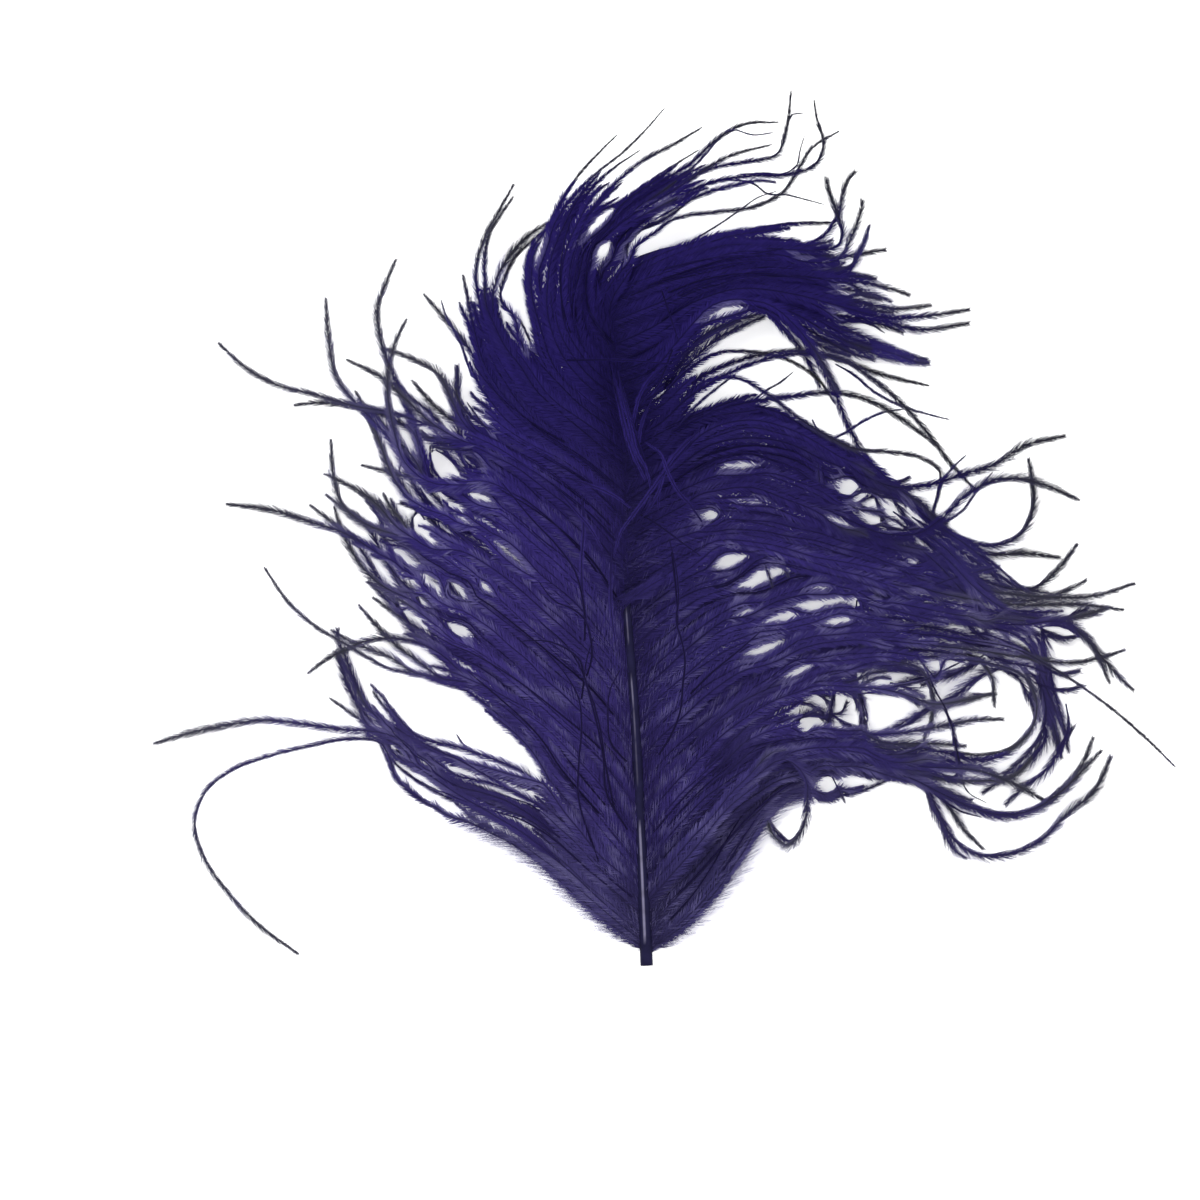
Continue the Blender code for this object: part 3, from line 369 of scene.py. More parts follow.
RIGHT = [
    Lock(104, 3, 7, 5, [2.5,108, 7,112.5, 13,116.3, 20,116.7, 27,115.2, 32.5,111.8, 36,107], rim=0.5,
        fill=0.4, hair=0.8),
    Lock(101.5, 3, 6, 2, [2.5,105.5, 8,110.5, 14,113.7, 21,116, 29,116.8, 37,115.2, 45,112.5,
        54,110.5], fill=0.28, hair=0.9),
    Lock(99, 3, 8, 1, [2.5,103, 8,108, 14,111.8, 21,114.8, 29,116.3, 37,115.3, 43,111.5, 48.5,107,
        53.5,101.5, 58,95.7, 63,90.5], fill=0.3, hair=0.9),
    Lock(96.5, 4, 6, 3, [3,101.5, 9.1,104.3, 17.9,106.8, 28,108.3, 36,109, 43,107.3, 49,103.8,
        55.5,99], fill=0.3, hair=1),
    Lock(95, 3, 7, 2, [3,101, 6.5,107, 11,111, 17,111.8, 23,108.7, 28,104.8, 34,101, 40,98.3, 46,97.8,
        52,96.8, 55.8,94.3, 55.6,89.5, 54,84.5], fill=0.4, hair=0.8),
    Lock(91.5, 8, 5, 1, [5,98.5, 12,104, 20,106, 27,103.8, 33,100.3, 39,97.3, 44,93, 49,89, 54,84.8,
        60,81.2, 66,80, 71,82, 73.6,86.5, 73.8,91.5, 73,96.6], fill=0.6),
    Lock(88.5, 6, 7, 0, [5,95.5, 12,100.8, 20,103, 28,101, 35,97.5, 41,93.5, 47,91.2, 53,91.4,
        60,93.5, 66,95.3, 72,99, 80,101], fill=1.2),
    Lock(85.5, 7, 5, 1, [5,91.8, 12,96.3, 20,97.8, 28,96.3, 34,93, 41,91, 47,89.8, 53,86.5, 59,81.5,
        65,78.5, 72,78.6, 79,77.8], fill=1.3),
    Lock(82.5, 5, 7, 2, [6,88.5, 13,91, 21,91.3, 29,88.8, 37,85.5, 45,82.3, 51.5,82.3, 56.5,85.5,
        61,89.8, 66,92.4, 71.5,92.7, 77,91.2, 82.6,88.7], fill=1.25),
    Lock(79, 8, 5, 1, [6,84.5, 14,86.5, 22,86, 30,84, 38,81.5, 46,79.5, 54,77.5, 61,75, 67.5,72.3,
        73.5,71.8, 78,75, 82.3,80.4], fill=1.5),
    Lock(75.5, 8, 6, 0, [6,81, 14,83, 22,82.5, 30,80.8, 38,78.8, 46,76.5, 54,74.3, 62,72, 70,70.8,
        78,70.2, 86,70.6, 93.3,72.9], fill=1.15, hair=1),
    Lock(72, 8, 5, 2, [4,77, 11,80.5, 19,81, 28,79.5, 37,77.3, 46,74.8, 54,72.8, 62,71, 70,69.5,
        77,70.3, 84,73.4], fill=1.1),
    Lock(67, 8, 7, 1, [3.5,73, 9.5,77.5, 16,80.3, 24,79.5, 32,77.5, 40,75.5, 48,73, 56,71, 64,69.5,
        73,68.7, 82,68.9, 91.2,67.8], hair=1),
    Lock(61.5, 8, 6, 2, [4,67.3, 10,71, 16,72.5, 22,76, 29,76.8, 37,74.8, 45,72.3, 53,70.3, 62,68.3,
        71,66.6, 80,66, 88,68.2]),
    Lock(56.5, 9, 5, 1, [4,62.5, 9.5,67, 15,70, 21,71.5, 28,73.5, 36,72.8, 44,71, 52,69, 61,67.2,
        70,65.8, 79,65.5, 83.7,63, 86.4,58.5, 88.5,53.7], hair=1),
    Lock(52, 9, 7, 1, [4,58, 9.5,62.5, 15,66.5, 21,68.5, 28,70.8, 36,71.3, 44,69, 53,67, 62,65.8,
        71,65, 80,65.3, 85,61, 89,56.3, 93,52.4]),
    Lock(48, 8, 5, 2, [4,54, 10,59, 16,63, 22,64.5, 29,66.7, 37,67.8, 45,66.5, 54,65.8, 63,65,
        72,63.8, 78.5,62.5, 82.6,62.8], hair=0.9),
    Lock(44, 9, 6, 0, [4,50, 10,55, 16,59, 23,61, 30,63.8, 38,65, 46,64, 54,63, 62,62, 70,60.5,
        76.5,57.3, 83,53.2, 89,48.8, 95,43.7, 101.1,37.8], hair=0.5),
    Lock(40, 8, 7, 1, [4,46, 10,51, 16,55.5, 23,58.8, 30,61.5, 38,62.8, 46,62, 55,61, 64,60, 73,58.6,
        82,57.8, 87,58.8, 91.4,60.2], hair=1),
    Lock(36.5, 8, 5, 0, [4,42.5, 10,48, 17,53.5, 24,57.3, 32,60, 41,61.2, 50,61, 60,61, 69,61.3,
        74,59, 75.8,54, 76.8,48.5, 78,43.5, 79.4,39.5], hair=1),
    Lock(33, 8, 6, 2, [4,39.5, 10,45, 17,50.5, 24,55, 32,58, 40,59.3, 49,59.3, 58,58.5, 66,57.5,
        71.5,55.5, 74.3,50.5, 73.5,45.5, 69.5,41.5, 64.5,40.2, 58,40.8], hair=0.9),
    Lock(30, 7, 5, 3, [4,36, 10,41.5, 17,47, 24,52, 31,55.5, 39,57.5, 48,58.3, 56,59, 62.5,59,
        65.6,55.5, 66.4,49.4]),
    Lock(27.5, 6, 7, 3, [4,33.5, 11,41, 18.1,46.9, 25.1,50.9, 31.9,53.4, 39,53.2, 44.8,52.8, 50,51.5,
        54,50, 60,50.5, 66.7,51.9]),
    Lock(25, 7, 5, 4, [4,31.5, 11,38.8, 18,45, 25,50, 32,54.5, 39,56.3, 46,57.2, 51.5,57, 54.3,52.8,
        54.5,47.5, 52.8,42.8]),
    Lock(23, 6, 6, 2, [4,29, 11,36.5, 18,41.7, 26,44, 34,44.5, 42,44.2, 50,44.6, 58,46, 63,46.9,
        68.2,47], fill=1.8),
    Lock(20, 6, 5, 3, [4,26, 10,32.5, 17,38, 25,41.5, 34,43, 43,42.3, 51,42.4, 57,42.3, 61,41.8]),
    Lock(17, 7, 7, 2, [4,23, 10,29.5, 17,35.5, 25,39.5, 34,41.3, 43,40.3, 50,38.3, 57,37.8, 63,37.3,
        69,35.2, 76.5,31.2], fill=1.7),
    Lock(14, 7, 5, 2, [4,20, 10,26.5, 17,33, 25,37.8, 34,39.8, 43,39, 50,37, 57,35.8, 64,35.3,
        70,36.2, 74,40.5, 76.3,45], fill=1.4, hair=0.9),
    Lock(11.5, 8, 6, 1, [4,17, 10,23.3, 17,30.3, 25,36, 34,38.5, 43,38, 50,36, 56,33, 62,30.2,
        68,28.8, 74,30, 79.5,33.8, 83,38, 85.3,43.5]),
    Lock(9, 8, 4, 2, [4,14, 10,20, 16,26.5, 23,33, 31,37.3, 40,37.8, 48,37, 54,34.5, 60,31.2, 66,29,
        72,29, 78,32.3, 82.5,36.5, 86.8,41]),
    Lock(6.5, 8, 5, 0, [4,10.5, 10,16.5, 16,23.5, 22,30, 30,35.5, 39,37, 47,37, 53,34.5, 55.8,29,
        58.7,24, 63,21.3, 69,21.3, 75,23.8, 80,28.7, 85.5,33.3, 88.8,39.9]),
    Lock(4.5, 8, 3, 1, [4,7.5, 9,12.3, 14,18.5, 18.5,24.8, 23.5,30.3, 30,35, 38,37, 46.5,37.2,
        53,35.5, 57.5,30.5, 61,25.5, 64.3,22.2], fringe=3),
    Lock(2.5, 9, 2, 1, [5,5.8, 10,10, 14.5,15, 18.5,20.5, 21.5,26, 25.1,30.6, 31.5,32.7, 36.1,32.5,
        41.4,33.4, 46.9,35.7], fringe=5.6),
    Lock(12.5, 3, 8, 3, [6,20, 13,28.5, 20.5,36, 26.5,39.5, 30,36.5, 30.6,31, 29.6,26, 27,23.2,
        24.4,24.8, 22.8,29]),
]

# ---- Gaps ----------------------------------------------------------------------------------------
#
# Long narrow gaps in the vane, where the barbs part and the ground shows, seen from above.
#
# x, y       the middle of the gap
# length     from end to end
# width      at its middle
# turn       degrees from the x direction to its long side

Gap = namedtuple("Gap", "x y length width turn")

GAPS = [
    Gap(-38.4, 94.8, 6.1, 2.9, -50), Gap(-32.9, 96.5, 6.5, 1.5, -40), Gap(-31.4, 89.3, 7.6, 2.3, -48),
    Gap(-39.7, 88.2, 5.3, 1.3, -52), Gap(-35.5, 87.0, 4.2, 0.8, -45), Gap(-40.9, 81.9, 9.5, 2.3, -55),
    Gap(-45.2, 77.5, 9.1, 2.3, -47), Gap(-49.0, 75.0, 8.4, 2.1, -52), Gap(-46.0, 69.3, 3.2, 2.7, -40),
    Gap(-44.1, 72.8, 4.6, 1.9, -46), Gap(-41.8, 69.7, 4.2, 1.9, -45), Gap(-40.1, 72.8, 8.0, 1.7, -49),
    Gap(-35.7, 71.4, 6.5, 2.5, -48), Gap(-30.2, 72.0, 4.6, 1.3, -55),
    Gap(-25.3, 77.9, 11.8, 1.3, -52), Gap(-35.0, 84.9, 5.7, 0.9, -50),
    Gap(-35.0, 64.0, 5.7, 1.5, -48), Gap(-43.3, 60.2, 4.9, 1.3, -38), Gap(-50.5, 79.6, 4.6, 0.9, -55),
    Gap(-54.5, 78.7, 4.9, 1.5, -55), Gap(-48.6, 83.4, 6.1, 1.1, -55), Gap(-46.2, 85.3, 5.3, 1.1, -65),
    Gap(-48.3, 97.1, 6.5, 2.7, -60), Gap(-45.0, 94.4, 4.2, 1.5, -55), Gap(-45.0, 90.6, 5.3, 2.1, -55),
    Gap(-49.6, 102.6, 4.9, 1.7, -55), Gap(-46.5, 100.7, 4.6, 1.3, -70),
    Gap(-44.3, 99.6, 5.3, 1.1, -85), Gap(-42.9, 105.5, 4.6, 1.9, -45),
    Gap(-40.9, 101.8, 4.2, 1.7, -35), Gap(-38.0, 102.6, 4.2, 1.7, -50),
    Gap(-31.0, 104.3, 7.6, 1.1, -58), Gap(38.2, 91.6, 5.7, 2.5, -25), Gap(41.6, 87.6, 6.5, 2.1, -10),
    Gap(46.2, 87.0, 5.3, 1.7, -60), Gap(37.0, 84.7, 7.6, 1.3, -18), Gap(42.6, 85.7, 5.3, 1.1, -30),
    Gap(51.3, 86.5, 6.8, 1.1, -42), Gap(50.9, 84.7, 4.2, 0.9, -30), Gap(47.5, 83.8, 4.6, 1.3, -50),
    Gap(19.2, 67.6, 6.8, 1.3, 45), Gap(25.5, 66.3, 9.5, 1.9, 36), Gap(33.4, 68.8, 12.5, 2.1, 8),
    Gap(22.8, 60.8, 11.4, 1.9, 36), Gap(36.9, 65.7, 8.7, 1.7, 12), Gap(39.5, 69.7, 3.0, 1.5, 0),
    Gap(33.1, 72.0, 6.5, 1.1, -10), Gap(29.1, 56.2, 8.4, 1.5, 40), Gap(44.1, 70.1, 3.0, 1.1, 40),
    Gap(52.1, 70.7, 4.2, 0.8, 0), Gap(50.9, 76.8, 3.4, 0.9, 0), Gap(46.0, 48.3, 11.0, 6.5, 10),
    Gap(39.0, 47.3, 5.7, 2.5, -60), Gap(34.0, 49.2, 4.8, 1.3, 75), Gap(52.4, 51.7, 3.2, 2.1, 0),
    Gap(55.9, 57.4, 6.8, 2.9, 25), Gap(57.4, 53.2, 4.9, 2.9, 30), Gap(49.4, 45.8, 6.5, 0.9, 15),
    Gap(55.9, 43.5, 6.8, 2.5, 10), Gap(55.5, 47.3, 3.2, 1.5, 60), Gap(34.2, 34.6, 5.3, 2.5, 5),
    Gap(39.1, 35.7, 6.1, 1.5, 12), Gap(57.8, 37.2, 4.2, 1.5, -5), Gap(63.3, 36.5, 7.2, 1.9, 14),
    Gap(64.2, 66.9, 4.6, 1.1, -15), Gap(62.9, 69.3, 4.2, 0.8, -20), Gap(71.4, 68.8, 4.6, 0.9, 0),
    Gap(68.4, 62.5, 6.1, 1.7, -5), Gap(69.9, 60.0, 5.7, 1.7, -15), Gap(61.2, 59.9, 3.8, 1.5, 0),
    Gap(73.3, 56.8, 5.7, 1.9, -20), Gap(74.1, 63.5, 3.4, 1.1, -40), Gap(-46.4, 41.4, 5.7, 1.7, -55),
    Gap(-41.4, 39.5, 4.6, 1.1, -58), Gap(-35.3, 38.2, 8.7, 1.3, -25), Gap(-33.8, 39.3, 3.4, 0.9, -35),
    Gap(-29.3, 37.0, 3.8, 0.9, -15), Gap(-46.7, 36.7, 4.9, 0.9, -50), Gap(-42.0, 35.5, 8.4, 0.9, -38),
    Gap(-42.0, 33.1, 6.8, 1.1, -38), Gap(-37.0, 30.4, 6.1, 1.1, -25), Gap(-52.2, 46.7, 5.3, 1.1, -50),
    Gap(-50.9, 49.6, 4.6, 0.9, -45), Gap(-49.4, 45.0, 3.0, 1.1, -70), Gap(-8.9, 140.6, 11.0, 1.1, 42),
    Gap(-7.6, 135.3, 6.1, 0.9, 74), Gap(-3.4, 135.7, 4.6, 0.8, 85), Gap(-0.9, 139.1, 4.9, 0.6, 35),
    Gap(-19.8, 136.2, 8.4, 0.8, 68), Gap(4.2, 143.1, 4.9, 0.8, 30), Gap(31.5, 133.9, 8.4, 0.8, -16),
    Gap(36.9, 136.2, 5.7, 0.9, -5), Gap(37.8, 129.0, 4.6, 0.8, -12), Gap(37.8, 127.9, 4.6, 0.6, -10),
    Gap(37.2, 123.5, 4.9, 1.1, -22), Gap(2.7, 145.0, 11.4, 0.5, 18), Gap(18.2, 95.2, 9.9, 1.3, 12),
    Gap(12.0, 85.7, 5.3, 2.3, 25), Gap(20.1, 88.0, 7.6, 0.4, 8), Gap(16.0, 77.3, 6.8, 2.9, 58),
    Gap(22.0, 73.9, 12.5, 2.5, 38), Gap(46.0, 54.1, 11.8, 0.9, 5), Gap(-47.1, 58.9, 9.9, 1.7, -28),
    Gap(30.4, 45.4, 3.0, 1.9, -30), Gap(75.4, 47.7, 4.6, 1.5, 80), Gap(-34.0, 43.5, 34.0, 6.4, -36),
    Gap(-25.3, 127.0, 22.0, 2.8, 105), Gap(-8.6, 135.3, 4.8, 1.0, 85), Gap(-9.0, 141.0, 8.0, 0.8, 45),
    Gap(46.5, 48.5, 6.0, 3.0, 30), Gap(56.5, 57.0, 6.0, 2.0, -20), Gap(15.0, 124.3, 10.0, 1.6, 20),
]

# ---- Loose barbs ---------------------------------------------------------------------------------
#
# Single barbs that stray from their locks or lie over them, placed on the photograph.
# Some follow a barb that can be told apart there, and the others follow the flow of the vane.
#
# start, end  heights of its two ends over the table
# rise        how far its middle arches up
# reach       how far its barbules stand out sideways
# slate  how much greyer it gets towards its tip
# route       the points that it passes over

Strand = namedtuple("Strand", "start end rise reach slate route")

LOOSE = [
    Strand(4, 4.5, 0.5, 0.5, 0.6, [-31,39.5, -33,41, -34.5,42, -36,44.2]),
    Strand(6, 5, 0.5, 0.5, 0.6, [-39,84.5, -42,86, -44.5,87.5, -46.5,88.5]),
    Strand(7, 6, 1, 0.45, 0.6, [-33,112, -34,115, -35,118, -36.5,121, -38,123.8, -38.9,126.8]),
    Strand(9, 7, 0.5, 0.45, 0.6, [-28,100, -30,102, -32,104.5, -34,107.3]),
    Strand(10, 8, 0.5, 0.45, 0.6, [-20,112, -21,116, -22.5,120, -24,122.8, -27.5,125.5]),
    Strand(14.5, 12, 1, 0.36, 0, [-6.8,113, -4.5,104, -3.5,99, -1.5,93]),
    Strand(14.5, 12, 1, 0.36, 0, [-5,112, -2,101, 0.5,94]),
    Strand(14, 13.5, 1, 0.32, 0, [5,117, 2,110, -1.5,106, -2,102]),
    Strand(14.5, 14.5, 0.8, 0.32, 0, [-15,115, -5,115, 5,114.3]),
    Strand(15, 14.5, 0.5, 0.32, 0, [3,128, 4.5,123.5, 6,119]),
    Strand(14.5, 14.5, 0.5, 0.32, 0, [-7,118, -9,121.5, -11,125]),
    Strand(12, 6, 2, 0.4, 0.6, [-6.5,139, -3.5,143.5, 0,147, 4,149, 8,151, 11,153.8, 13.5,156.8,
        16,158.8, 20.5,158, 24.2,158.5]),
    Strand(4, 4, 0.2, 0.25, 0.6, [26.9,160.5, 27.5,161.8, 30,162.3]),
    Strand(5, 4, 0.5, 0.3, 0.6, [18,150.6, 22,150.8, 27,151, 28.8,152.5, 29.3,155, 30.2,158]),
    Strand(6, 3, 1, 0.3, 0.6, [12,149.2, 16,149.5, 20.5,148.8, 23,147, 27,146.7, 30,146, 34,145]),
    Strand(10, 5, 1, 0.25, 0.6, [7,136.5, 10,138.5, 14,141, 18,143.8, 21,146, 25,147.5]),
    Strand(12, 10, 1, 0.5, 0.6, [-3.3,133.5, -3.8,136.5, -2,139, 2,141, 6,143.5, 10,147]),
    Strand(12, 9, 1, 0.8, 0.6, [4,135.7, 10,137.5, 18,139.5, 25.5,140]),
    Strand(8, 7, 0.5, 0.5, 0.6, [38,130.5, 39,132.5, 40,134.5, 41.5,137.5, 42.6,141]),
    Strand(6, 4, 0.5, 0.5, 0.6, [33,120.5, 37,119, 41,117, 43.5,115]),
    Strand(7, 4, 0.5, 0.5, 0.6, [26,125.3, 32,124.3, 38,123, 43,122, 45.5,120.5]),
    Strand(12, 10, 0.5, 0.4, 0.6, [7,116, 10.5,119, 14,121, 18,123, 22,124]),
    Strand(11, 9.5, 0.5, 0.5, 0.6, [6,102.5, 9,106, 13,109.5, 17,112.5]),
    Strand(9, 8.5, 0.5, 0.35, 0.6, [20,107, 22.5,109.2, 25.5,111, 28,113]),
    Strand(7, 4, 1, 0.5, 0.6, [36,114.5, 39.5,112.5, 43,109.5, 48,106.8, 53,105.2, 57.8,104]),
    Strand(7, 5, 1, 0.5, 0.6, [34,98.5, 36,100.5, 38,101.5, 41,103.5, 45,105.3, 49,106]),
    Strand(5, 4, 1, 0.5, 0.6, [54,85, 55,88, 56.5,92.5, 58.5,95, 61,97.3]),
    Strand(5, 4, 1, 0.5, 0.6, [53,82, 56,84, 60,86.5, 63,90.5, 66,94]),
    Strand(6, 5.5, 0.3, 0.69, 0.6, [42,91.5, 45,91.5, 48,92, 50.2,93.2]),
    Strand(5, 4, 0.5, 0.5, 0.6, [62,79, 65,77.5, 68,75, 71,72.5, 75,70]),
    Strand(4, 3, 0.5, 0.5, 0.6, [73,59, 76,57, 79,55.5, 82.7,56.3]),
    Strand(4, 3, 0.5, 0.5, 0.6, [74,54, 77,53, 80,52.5, 84,53.5]),
    Strand(3, 2, 0.5, 0.5, 0.6, [80,50, 80.5,46, 79.8,43, 79,39.5]),
    Strand(6, 3, 1, 0.25, 0.6, [51,60, 53,57, 55,52.5, 57,49, 59,42, 60,37, 61,33.5, 65,31]),
    Strand(7, 6, 0.5, 0.5, 0.6, [36,53, 42,53, 48,53.5, 53,54.5, 57,56.5, 60,58]),
    Strand(7, 5, 0.5, 0.3, 0.6, [40,54, 41,51, 42,48, 42,45]),
    Strand(4, 2, 0.5, 0.4, 0.6, [52,35, 56,32, 60,29.5, 64,28.3]),
    Strand(5, 4, 0.3, 0.5, 0.6, [35.5,36, 36.5,34, 38,31]),
    Strand(4, 10, 1.5, 0.35, 0, [-3.5,26, -7.6,33.4, -8,39, -8.9,44.5, -10.5,50.9, -12.2,56.4, -15,61,
        -20,65.5]),
    Strand(4, 9, 1.5, 0.35, 0, [-9,20, -12.9,33.4, -12.7,39, -12.2,46.6, -12.7,50.9, -15.5,56,
        -19,60]),
    Strand(6, 9, 1, 0.35, 0, [-3.6,39, -6.5,42.2, -7.2,47.7, -6.8,52.6, -4.9,56.4]),
    Strand(6, 12, 1, 0.35, 0, [2.5,40.3, 4.4,43.3, 6.5,48.5, 7,53.6, 7.4,58.5, 6.8,61.9, 5.7,66.1,
        6.1,68.8, 5.7,75.6, 4.4,81.3]),
    Strand(8, 11, 1, 0.35, 0, [-12.2,50.9, -11.8,55.3, -12.5,58.3, -14.6,60.2, -18.6,61.9,
        -23.8,61.9]),
    Strand(9, 11, 1, 0.35, 0, [-11.2,55.3, -10.3,58.5, -10.5,62.7, -11.6,66.1, -13.5,67.8, -17.3,69.5,
        -20.3,73.2]),
    Strand(10, 12, 1, 0.35, 0, [-11.6,62, -11.6,66.7, -12.2,70.9, -13.3,74.9, -16.5,79.6, -21.3,84.7,
        -27.2,91.8]),
    Strand(5, 10, 1, 0.35, 0, [-6,30, -7.8,39.5, -8.6,45, -9.9,50.2, -11.6,55.3, -11.2,58.5,
        -9.9,62.7]),
    Strand(6, 10, 1, 0.35, 0, [8.5,51.9, 12.5,55.9, 17.7,60.2, 21.7,63.7]),
    Strand(4, 2, 1, 1.15, 0.6, [59.7,80.5, 64.1,77.3, 67.9,73.8, 71.7,71.9, 76.8,71]),
    Strand(4, 1, 1, 1.05, 0.6, [70.9,65.9, 73.4,64, 75.6,60.2, 76.3,54.5, 77.2,48.2, 78.8,42.5]),
    Strand(5, 1, 1, 1.05, 0.6, [67.7,66.6, 70.9,64.7, 74.1,60.9, 75,54.5, 75.6,49.5, 77.9,45,
        79.1,41.9]),
    Strand(4, 1, 1, 0.89, 0.6, [72.8,61.5, 74.7,56.4, 76.9,51.4, 78.5,47.6, 80.4,43.1]),
    Strand(3, 1, 1, 1.38, 0.6, [75.7,46.6, 76.3,44.4, 74.1,40, 70.2,36.7, 67.5,35.1, 64.2,32.9]),
    Strand(3, 1, 1, 1.38, 0.6, [80.6,44.9, 79,41.7, 75.7,36.7, 71.9,34, 68.6,30.7]),
    Strand(3, 2, 1, 1.26, 0.6, [64.7,58.7, 62,57, 55.4,55.4, 48.3,53.7, 45,52.1]),
    Strand(3, 2, 1, 1.26, 0.6, [70.2,58.1, 72.4,55.9, 74.1,50.4, 75.2,46.6]),
    Strand(3, 2, 1, 1.26, 0.6, [51.6,36.7, 56.5,35.6, 62,35.3, 67.5,35.1]),
    Strand(8, 5, 1, 1.38, 0.6, [20.7,126.1, 24.4,124.8, 30.8,121.1, 35.3,118.4, 39.9,116.3,
        43.5,115.4]),
    Strand(7, 4, 1, 1.38, 0.6, [22.6,124.8, 26.2,122.9, 30.8,119.3, 34.4,117.5, 39,116.1]),
    Strand(6, 4, 1, 1.38, 0.6, [30.8,120.2, 35.3,118.6, 39.9,117.5, 44.5,116.3, 49,115.2,
        53.8,114.7]),
    Strand(7, 4, 1, 1.26, 0.6, [30.8,123.4, 35.3,121.8, 39,120.7, 44.5,118.4, 49,116.5, 53.6,115.4]),
    Strand(9, 8, 1, 1.49, 0.6, [0.2,109.2, 4.3,112.9, 8,117.5, 11.6,120.2, 16.2,122.2, 21.7,124.1]),
    Strand(8, 7, 1, 1.49, 0.6, [1.6,108.3, 6.2,112.4, 9.8,116.1, 13.5,119.3, 18,121.6, 22.6,123.6]),
    Strand(8, 8, 1, 1.49, 0.6, [-0.2,107.9, 3.4,110.6, 7.1,115.2, 10.3,118.8, 13.5,121.1, 18,123.4]),
    Strand(8, 6, 1, 1.26, 0.6, [31.7,130.2, 36.7,128.9, 40.8,128.2, 44.5,127.3, 46.7,126.4]),
    Strand(8, 7, 1, 0.92, 0.6, [35.3,132.1, 38.5,132.5, 39.9,134.8, 41.3,137.5, 42.4,140.9]),
    Strand(8, 7, 1, 1.03, 0.6, [31.7,133.4, 35.3,132.5, 38.1,132.7, 39.9,134.1, 40.8,136.6]),
    Strand(4, 2, 0, 1.26, 0.6, [-44.8,65, -47.5,68.8, -49.4,72, -51.3,74.5, -52.8,77, -54.3,79.4,
        -55.9,80.8]),
    Strand(4, 2, 0, 1.26, 0.6, [-42,67.5, -44.8,71.6, -47.1,73.9, -49.4,77, -50.9,79.6, -52.1,82.3,
        -54,84.9, -55.9,86.6]),
    Strand(5, 2, 0, 1.26, 0.6, [-41,71.2, -43.7,74.1, -46.7,76.4, -48.6,79.2, -50,82.1, -50.5,84.9,
        -51.7,86.8, -53.2,88.7]),
    Strand(5, 3, 0, 1.15, 0.6, [-42,78.8, -44.5,81.5, -46,82.8, -47.1,84, -49,86.3, -50.9,88.7]),
    Strand(5, 3, 0, 1.03, 0.6, [-42.9,80.2, -45.2,82.1, -46.5,84.2, -47.7,86.8, -48.6,89.1]),
    Strand(5, 4, 0, 1.49, 0.6, [-33.4,68.4, -36.9,71.6, -39.1,73.5, -42,76.2, -44.5,78.7, -47.1,81.1,
        -49.8,82.3]),
    Strand(5, 3, 0, 1.38, 0.6, [-37.2,63.6, -41,66.5, -43.9,69, -46,71.2, -47.5,73.5, -48.6,75.8]),
    Strand(4, 1, 0, 1.38, 0.6, [-37.2,56.8, -39.9,60.2, -42,61.8, -44.8,64.4, -46.7,66.9, -48.6,69.2,
        -50.7,71.2, -52.8,73.2]),
    Strand(2, 3, 0, 1.49, 0.6, [-46.7,42.8, -49.6,45.4, -52.4,48.5, -54.7,52.6, -56.2,56, -57.4,59.3,
        -58.5,62.1, -58.7,64.2]),
    Strand(2, 2, 0, 1.38, 0.6, [-50.9,45, -54,48.5, -55.9,51.7, -57.2,54.5, -58.1,57.4, -59.1,59.9]),
    Strand(6, 4, 0, 1.26, 0.6, [-35.3,69.7, -38.2,73.5, -40.7,76.2, -42.6,78.8, -44.1,81.9,
        -44.5,84.9, -43.3,86.8]),
    Strand(5, 3, 0, 1.03, 0.6, [-39.1,66.9, -42,70.1, -43.7,71.6, -45.8,71.8, -48.3,71.6]),
    Strand(6, 4, 0, 1.38, 0.6, [-39.1,84.9, -42.6,89.1, -44.5,92.5, -46,95.8, -47.3,98.6, -48.6,101.3,
        -50.5,103.9, -53.2,106.2]),
    Strand(5, 3, 0, 1.15, 0.6, [-42,84.9, -44.1,88.3, -46,91, -47.5,93.3, -49.2,96, -50.4,98.8,
        -51.7,102, -53.6,105.3]),
    Strand(6, 5, 0, 1.03, 0.6, [-33.4,98.2, -36.3,100.1, -38.2,102, -39.9,104.1, -42,106.2,
        -44.6,108.1, -46.9,110.8]),
    Strand(8, 5, 0, 1.72, 0.6, [-31.5,94.4, -34.4,98.2, -35.5,101.5, -35.9,104.5, -36.5,107.3,
        -37.6,110, -39.1,112.3]),
    Strand(8, 5, 0, 1.38, 0.6, [-32.5,100.1, -33.8,103, -35,105.5, -35.7,108.5, -35.7,111.5,
        -35.9,114.2]),
    Strand(5, 3, 0, 1.38, 0.6, [-42.9,78.3, -45.8,80.6, -47.9,82.3, -49.4,84.7, -50.5,86.6,
        -52.2,88.5, -54.3,90.1]),
    Strand(6, 5, 0, 1.38, 0.6, [-33.4,77.3, -36.3,79.6, -38.2,81.7, -39.9,84, -42,86.1, -44.3,87.4,
        -46.7,88.2]),
    Strand(7, 6, 0, 1.26, 0.6, [-31.5,81.1, -35,84, -37.6,86.5, -39.5,88.7, -41.4,91, -42.9,93.5]),
    Strand(6, 5, 0, 1.15, 0.6, [-42,90.6, -44.5,94.8, -46,97.8, -46.9,100.1, -47.9,102.4, -48.6,105.1,
        -49,107.7, -49,110.8]),
    Strand(7, 5, 0, 1.38, 0.6, [-39.1,90.6, -41.4,94.4, -42.8,97.8, -43.7,100.9, -44.5,103.9,
        -45.4,106.2, -46.4,108.5, -47.5,110.8]),
    Strand(6, 5, 0, 0.92, 0.6, [-35.3,94.4, -37.2,96.7, -39,98.6, -40.1,98.8, -40.7,97.8]),
    Strand(6, 6, 0, 0.92, 0.6, [40.7,92.2, 44.5,91.4, 47.1,91.8, 48.8,92.3, 50.4,92.9]),
